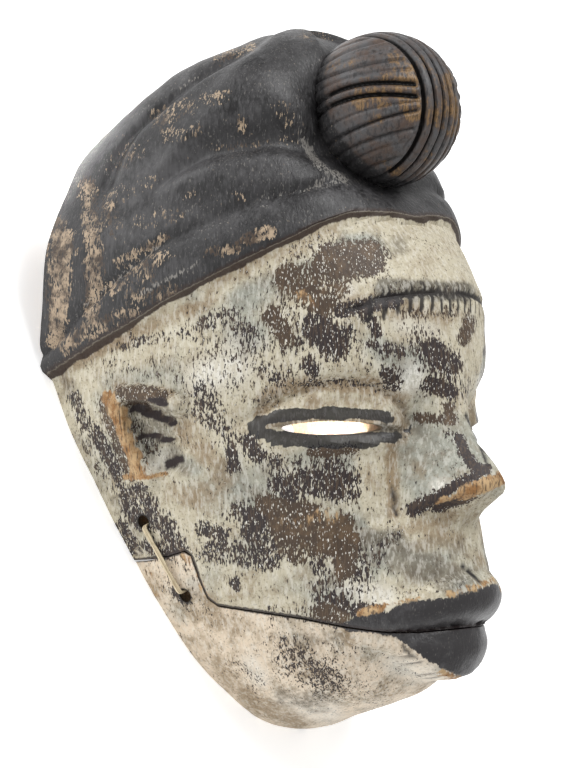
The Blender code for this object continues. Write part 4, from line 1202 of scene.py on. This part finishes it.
class MaskColours(bpy.types.PropertyGroup):
    """Colours of paint, wood, cane and floor, some of them also used for painted shade, sheen and
    highlights.
    """
    chalk_cream: colour("Cream chalk", (190, 182, 160), "Main chalk paint of the face")
    chalk_jaw: colour("Jaw chalk", (214, 198, 176), "Warmer chalk paint of the jaw")
    chalk_grey: colour("Grey chalk", (150, 151, 140), "Grey-green chalk paint")
    # Whitest chalk, also the colour of the painted highlights.
    chalk_pale_and_highlight: colour("Pale chalk", (228, 225, 216), "Whitest chalk paint")
    # Beige-brown stain, also the colour of painted shade along the hairline and beside the nose.
    stain: colour("Stain", (140, 121, 94), "Beige-brown stain in the paint")
    stain_dark: colour("Dark stain", (98, 86, 70), "Small dirt specks")
    wood_brown: colour("Brown wood", (68, 55, 44), "Bare wood where paint is lost")
    # Dark old wood and undercoat, also the colour of the painted shade along the jaw's seam.
    dark_wood_and_seam_shade: colour("Dark wood", (46, 38, 38), "Dark old wood and undercoat")
    wood_light: colour("Light grain", (104, 84, 62), "Lighter grain of the bare wood")
    wood_golden: colour("Golden wood", (142, 102, 60), "Rubbed golden wood")
    wood_tan: colour("Tan wood", (188, 158, 118), "Rubbed light wood")
    hair_tan: colour("Hair tan", (172, 152, 128), "Light wood where the hair is worn")
    # Dark film over the chalk, also the colour of painted shade on it.
    smoke_and_shade: colour("Smoke", (92, 89, 80), "Dark film over the chalk paint")
    hair_black: colour("Hair black", (22, 21, 22), "Blackened hair")
    hair_grey: colour("Hair grey", (50, 49, 50), "Greyed hair")
    # Grey bloom on the hair, also the colour of the painted sheen on the hair and lips.
    hair_bloom_and_sheen: colour("Hair haze", (84, 83, 84), "Lighter grey bloom on the hair")
    hair_fleck: colour("Hair fleck", (132, 128, 122), "Fine light flecks in the hair")
    hair_crust: colour("Crust", (142, 138, 132), "Pale crust along lines of the hair")
    # Dark brown edge under the hair, partly the painted shadow under its step.
    hair_edge_and_shadow: colour("Hair edge", (52, 38, 32), "Dark brown edge under the hair")
    knot_brown: colour("Knot brown", (84, 67, 57), "Worn brown of the knot")
    knot_gold: colour("Knot gold", (124, 98, 66), "Rubbed high places of the knot")
    # Painted shade in the knot's grooves and the tie holes.
    groove_and_hole_shade: colour("Groove black", (12, 9, 8), "Bottom of the grooves")
    # Blackened cuts, and the colour of the painted shade in creases.
    cut_black_and_crease_shade: colour("Brow black", (30, 26, 26), "Blackened cuts")
    lid_black: colour("Lid black", (30, 29, 30), "Painted eyelids")
    lip_black: colour("Lip black", (52, 50, 51), "Painted lips")
    inside_wood: colour("Inside wood", (182, 156, 124), "Plain wood of the hollow side")
    inside_dark: colour("Inside dark wood", (138, 110, 84), "Darkened wood of the hollow side")
    cane_pale: colour("Pale cane", (222, 208, 176), "Cane of the ties")
    cane_dark: colour("Dark cane", (132, 112, 82), "Fibres of the cane")
    floor: colour("Floor", (250, 250, 250), "Plain pale floor")


# Operators

def finish_piece(obj, node, body, material):
    """Lays the piece down, smooths it, and puts it in its CAD node's place."""
    obj.data.transform(lying_matrix())
    with editing(obj):
        bpy.ops.mesh.remove_doubles(threshold=0.00001)
    bpy.ops.object.shade_smooth_by_angle(angle=math.radians(38))
    obj.data.materials.clear()
    obj.data.materials.append(material)
    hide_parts(node)
    if body:
        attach(obj, body)
    return obj


class CARVING_OT_upper_mask(bpy.types.Operator):
    """Carves the face, hair, knot and ears from one block and hollows it"""
    bl_idname = "carving.upper_mask"
    bl_label = "Upper mask"

    def execute(self, context):
        block, head, slope = carved_block("upper_mask_carved", sizes().fineness, False)
        close_holes(block)
        slice_off(block, (0, slope, 1))
        slice_off(block, (0, -sizes().crown_slope, 1))
        knot, direction = ball("knot", sizes().knot_fineness)
        write_points(knot, knot_points(direction) * unit())
        combine(block, knot, 'UNION')
        combine(block, hollow_ball(), 'DIFFERENCE')
        for side in (-1, 1):
            centre = Vector((side * EYE[0], EYE[1] + 0.3, 96)) * unit()
            matrix = (Matrix.Translation(centre)
                      @ Matrix.Rotation(math.radians(EYE_TURN) * side, 4, 'Y')
                      @ Matrix.Diagonal((sizes().slit_length / 2, sizes().slit_height / 2, 1, 1)))
            combine(block, rod("eye_slit", 64, 1.0, 60 * unit(), matrix), 'DIFFERENCE')
        bore_tie_holes(block, head, ["upper"])
        combine(block, side_block("jaw_room", seam_outline(0), 90 * unit()), 'DIFFERENCE')
        finish_piece(block, "upper_mask", "mask",
                     painted_wood("painted_wood_face", colours().chalk_cream))
        store_wear_and_painted_light(block)
        return {'FINISHED'}


class CARVING_OT_jaw(bpy.types.Operator):
    """Carves the jaw with the lower lip and hollows it"""
    bl_idname = "carving.jaw"
    bl_label = "Jaw"

    def execute(self, context):
        block, head, slope = carved_block("jaw_carved", sizes().jaw_fineness, True)
        close_holes(block)
        slice_off(block, (0, slope, 1))
        shift = sizes().seam_gap / unit()
        combine(block, side_block("jaw_block", seam_outline(shift), 90 * unit()), 'INTERSECT')
        combine(block, hollow_ball(), 'DIFFERENCE')
        bore_tie_holes(block, head, ["lower"])
        finish_piece(block, "jaw", "jaw",
                     painted_wood("painted_wood_jaw", colours().chalk_jaw))
        store_wear_and_painted_light(block)
        return {'FINISHED'}


# Minor radius of the ring that each tie is bent from, when its major radius is 1
RING = 0.25
TIE_CORNER = 0.0013


def tie_loop(length_share, half, low, high, radius):
    """Point and outward direction of the tie's flat loop, at a share of the way round."""
    straight_x, straight_y = 2 * (half - radius), (high - low) - 2 * radius
    arc = math.pi * radius / 2
    whole = 2 * (straight_x + straight_y) + 4 * arc
    s = (length_share % 1.0) * whole
    corners = ((half, high), (-half, high), (-half, low), (half, low))
    runs = (straight_x, straight_y, straight_x, straight_y)
    heading = 180.0
    px, py = half - radius, high
    for number in range(4):
        way = Vector((math.cos(math.radians(heading)), math.sin(math.radians(heading))))
        side = Vector((way.y, -way.x))
        if s <= runs[number]:
            return Vector((px, py)) + way * s, side
        s -= runs[number]
        px, py = px + way.x * runs[number], py + way.y * runs[number]
        centre = Vector((px, py)) - side * radius
        if s <= arc:
            turned = Matrix.Rotation(s / radius, 2) @ side
            return centre + turned * radius, turned
        s -= arc
        heading += 90
        turned = Matrix.Rotation(math.pi / 2, 2) @ side
        px, py = (centre + turned * radius)
    return Vector((px, py)), Vector((0, 1))


class CARVING_OT_ties(bpy.types.Operator):
    """Makes both hinge ties, each a closed loop of split cane through its two holes"""
    bl_idname = "carving.ties"
    bl_label = "Cane ties"

    def execute(self, context):
        head, s = Head(), sizes()
        top, low, along, out, swell = tie_frame(head)
        half = (low - top).length / 2 - s.hole_diameter / 2 + s.tie_clearance + s.tie_thickness
        inside = swell + s.tie_clearance
        behind = -(s.wall * 1.12 + s.tie_clearance)
        place = frame_matrix((top + low) / 2, along, out, along.cross(out))
        thick = s.tie_thickness
        for side, node in ((-1, "tie_right"), (1, "tie_left")):
            obj = added(node + "_cane", bpy.ops.mesh.primitive_torus_add, major_segments=180,
                        minor_segments=16, major_radius=1.0, minor_radius=RING, generate_uvs=True)
            ring = read_points(obj)
            major = np.arctan2(ring[:, 1], ring[:, 0]) / (2 * math.pi)
            outward = (np.hypot(ring[:, 0], ring[:, 1]) - 1.0) / RING
            sideways = ring[:, 2] / RING
            points = []
            for share, o, w in zip(major, outward, sideways):
                mid, normal = tie_loop(share + 0.125, half - thick / 2, behind - thick / 2,
                                       inside + thick / 2, TIE_CORNER)
                squareness = max(abs(o), abs(w)) ** 0.6
                wave = 1 + 0.10 * math.sin(share * 40) + 0.05 * math.sin(share * 97)
                rise = math.copysign(abs(o) ** 0.7, o) * thick * 0.46
                wide = math.copysign(abs(w) ** 0.7, w) * s.tie_width * 0.45 * wave * squareness
                flat = mid + normal * rise
                points.append(place @ Vector((flat.x, flat.y, wide)))
            write_points(obj, np.array(points))
            if side < 0:
                obj.data.transform(Matrix.Diagonal((-1, 1, 1, 1)))
            with editing(obj):
                turn_faces_out()
            finish_piece(obj, node, None, dry_cane("dry_cane_" + node))
            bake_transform(obj)
        return {'FINISHED'}


class CARVING_OT_stage(bpy.types.Operator):
    """Adds the plain pale floor, the soft light and the camera"""
    bl_idname = "carving.stage"
    bl_label = "Stage"

    def execute(self, context):
        scene = context.scene
        floor = added("floor", bpy.ops.mesh.primitive_plane_add, size=8)
        n = Nodes("floor_paint")
        n.shader.inputs["Base Color"].default_value = (*colours().floor, 1)
        n.shader.inputs["Roughness"].default_value = 0.9
        n.shader.inputs["Emission Color"].default_value = (1, 1, 1, 1)
        n.shader.inputs["Emission Strength"].default_value = 0.5
        floor.data.materials.append(n.material)

        back, right = sight_axes()
        camera = bpy.data.cameras.new("camera")
        camera.lens = camera.sensor_width * SIGHT_LENS / SIGHT_HEIGHT
        camera.clip_end = 20
        eye = bpy.data.objects.new("camera", camera)
        scene.collection.objects.link(eye)
        spot = (Vector(SIGHT_MIDDLE) + Vector(back) * SIGHT_DISTANCE) * unit()
        turn = Matrix((Vector(right), Vector((0, 1, 0)), Vector(back))).transposed().to_4x4()
        eye.matrix_world = lying_matrix() @ Matrix.Translation(spot) @ turn
        scene.camera = eye

        middle = lying_matrix() @ (Vector(SIGHT_MIDDLE) * unit())
        far_wall = lying_matrix() @ (Vector((57, -23, 32)) * unit())
        for name, target, away, size, power, spread in (
                ("key_light", middle, (0.1, 0.55, 1.5), 0.9, 20, 180),
                ("side_light", middle, (-1.3, -0.2, 0.5), 1.2, 2, 180),
                ("crown_light", middle, (-0.8, 0.95, 0.1), 0.5, 5, 180),
                ("hollow_light", far_wall, (-0.45, 0.535, 0.03), 0.04, 0.08, 5)):
            lamp = added(name, bpy.ops.object.light_add, type='AREA')
            lamp.data.size = size
            lamp.data.energy = power
            lamp.data.spread = math.radians(spread)
            lamp.location = target + Vector(away)
            lamp.rotation_euler = (-Vector(away)).to_track_quat('-Z', 'Y').to_euler()
        world = bpy.data.worlds.new("soft_room")
        scene.world = world
        world.use_nodes = True
        background = world.node_tree.nodes["Background"]
        background.inputs["Color"].default_value = (1, 1, 1, 1)
        background.inputs["Strength"].default_value = 0.5
        scene.view_settings.view_transform = 'Standard'
        return {'FINISHED'}


class CARVING_PT_panel(bpy.types.Panel):
    """Lists the sizes, the colours and the pieces"""
    bl_label = "Moving jaw mask"
    bl_idname = "CARVING_PT_panel"
    bl_space_type = 'VIEW_3D'
    bl_region_type = 'UI'
    bl_category = "Mask"

    def draw(self, context):
        layout = self.layout
        for group in (context.scene.mask_sizes, context.scene.mask_colours):
            box = layout.box()
            for name in group.__annotations__:
                box.prop(group, name)
        for operator in OPERATORS:
            layout.operator(operator.bl_idname)


OPERATORS = (CARVING_OT_upper_mask, CARVING_OT_jaw, CARVING_OT_ties, CARVING_OT_stage)
CLASSES = (MaskSizes, MaskColours, *OPERATORS, CARVING_PT_panel)


def register():
    for cls in CLASSES:
        bpy.utils.register_class(cls)
    bpy.types.Scene.mask_sizes = PointerProperty(type=MaskSizes)
    bpy.types.Scene.mask_colours = PointerProperty(type=MaskColours)


def unregister():
    del bpy.types.Scene.mask_colours
    del bpy.types.Scene.mask_sizes
    for cls in reversed(CLASSES):
        bpy.utils.unregister_class(cls)


def main():
    register()
    bpy.ops.carving.upper_mask()
    bpy.ops.carving.jaw()
    bpy.ops.carving.ties()
    bpy.ops.carving.stage()


if __name__ == "__main__":
    main()
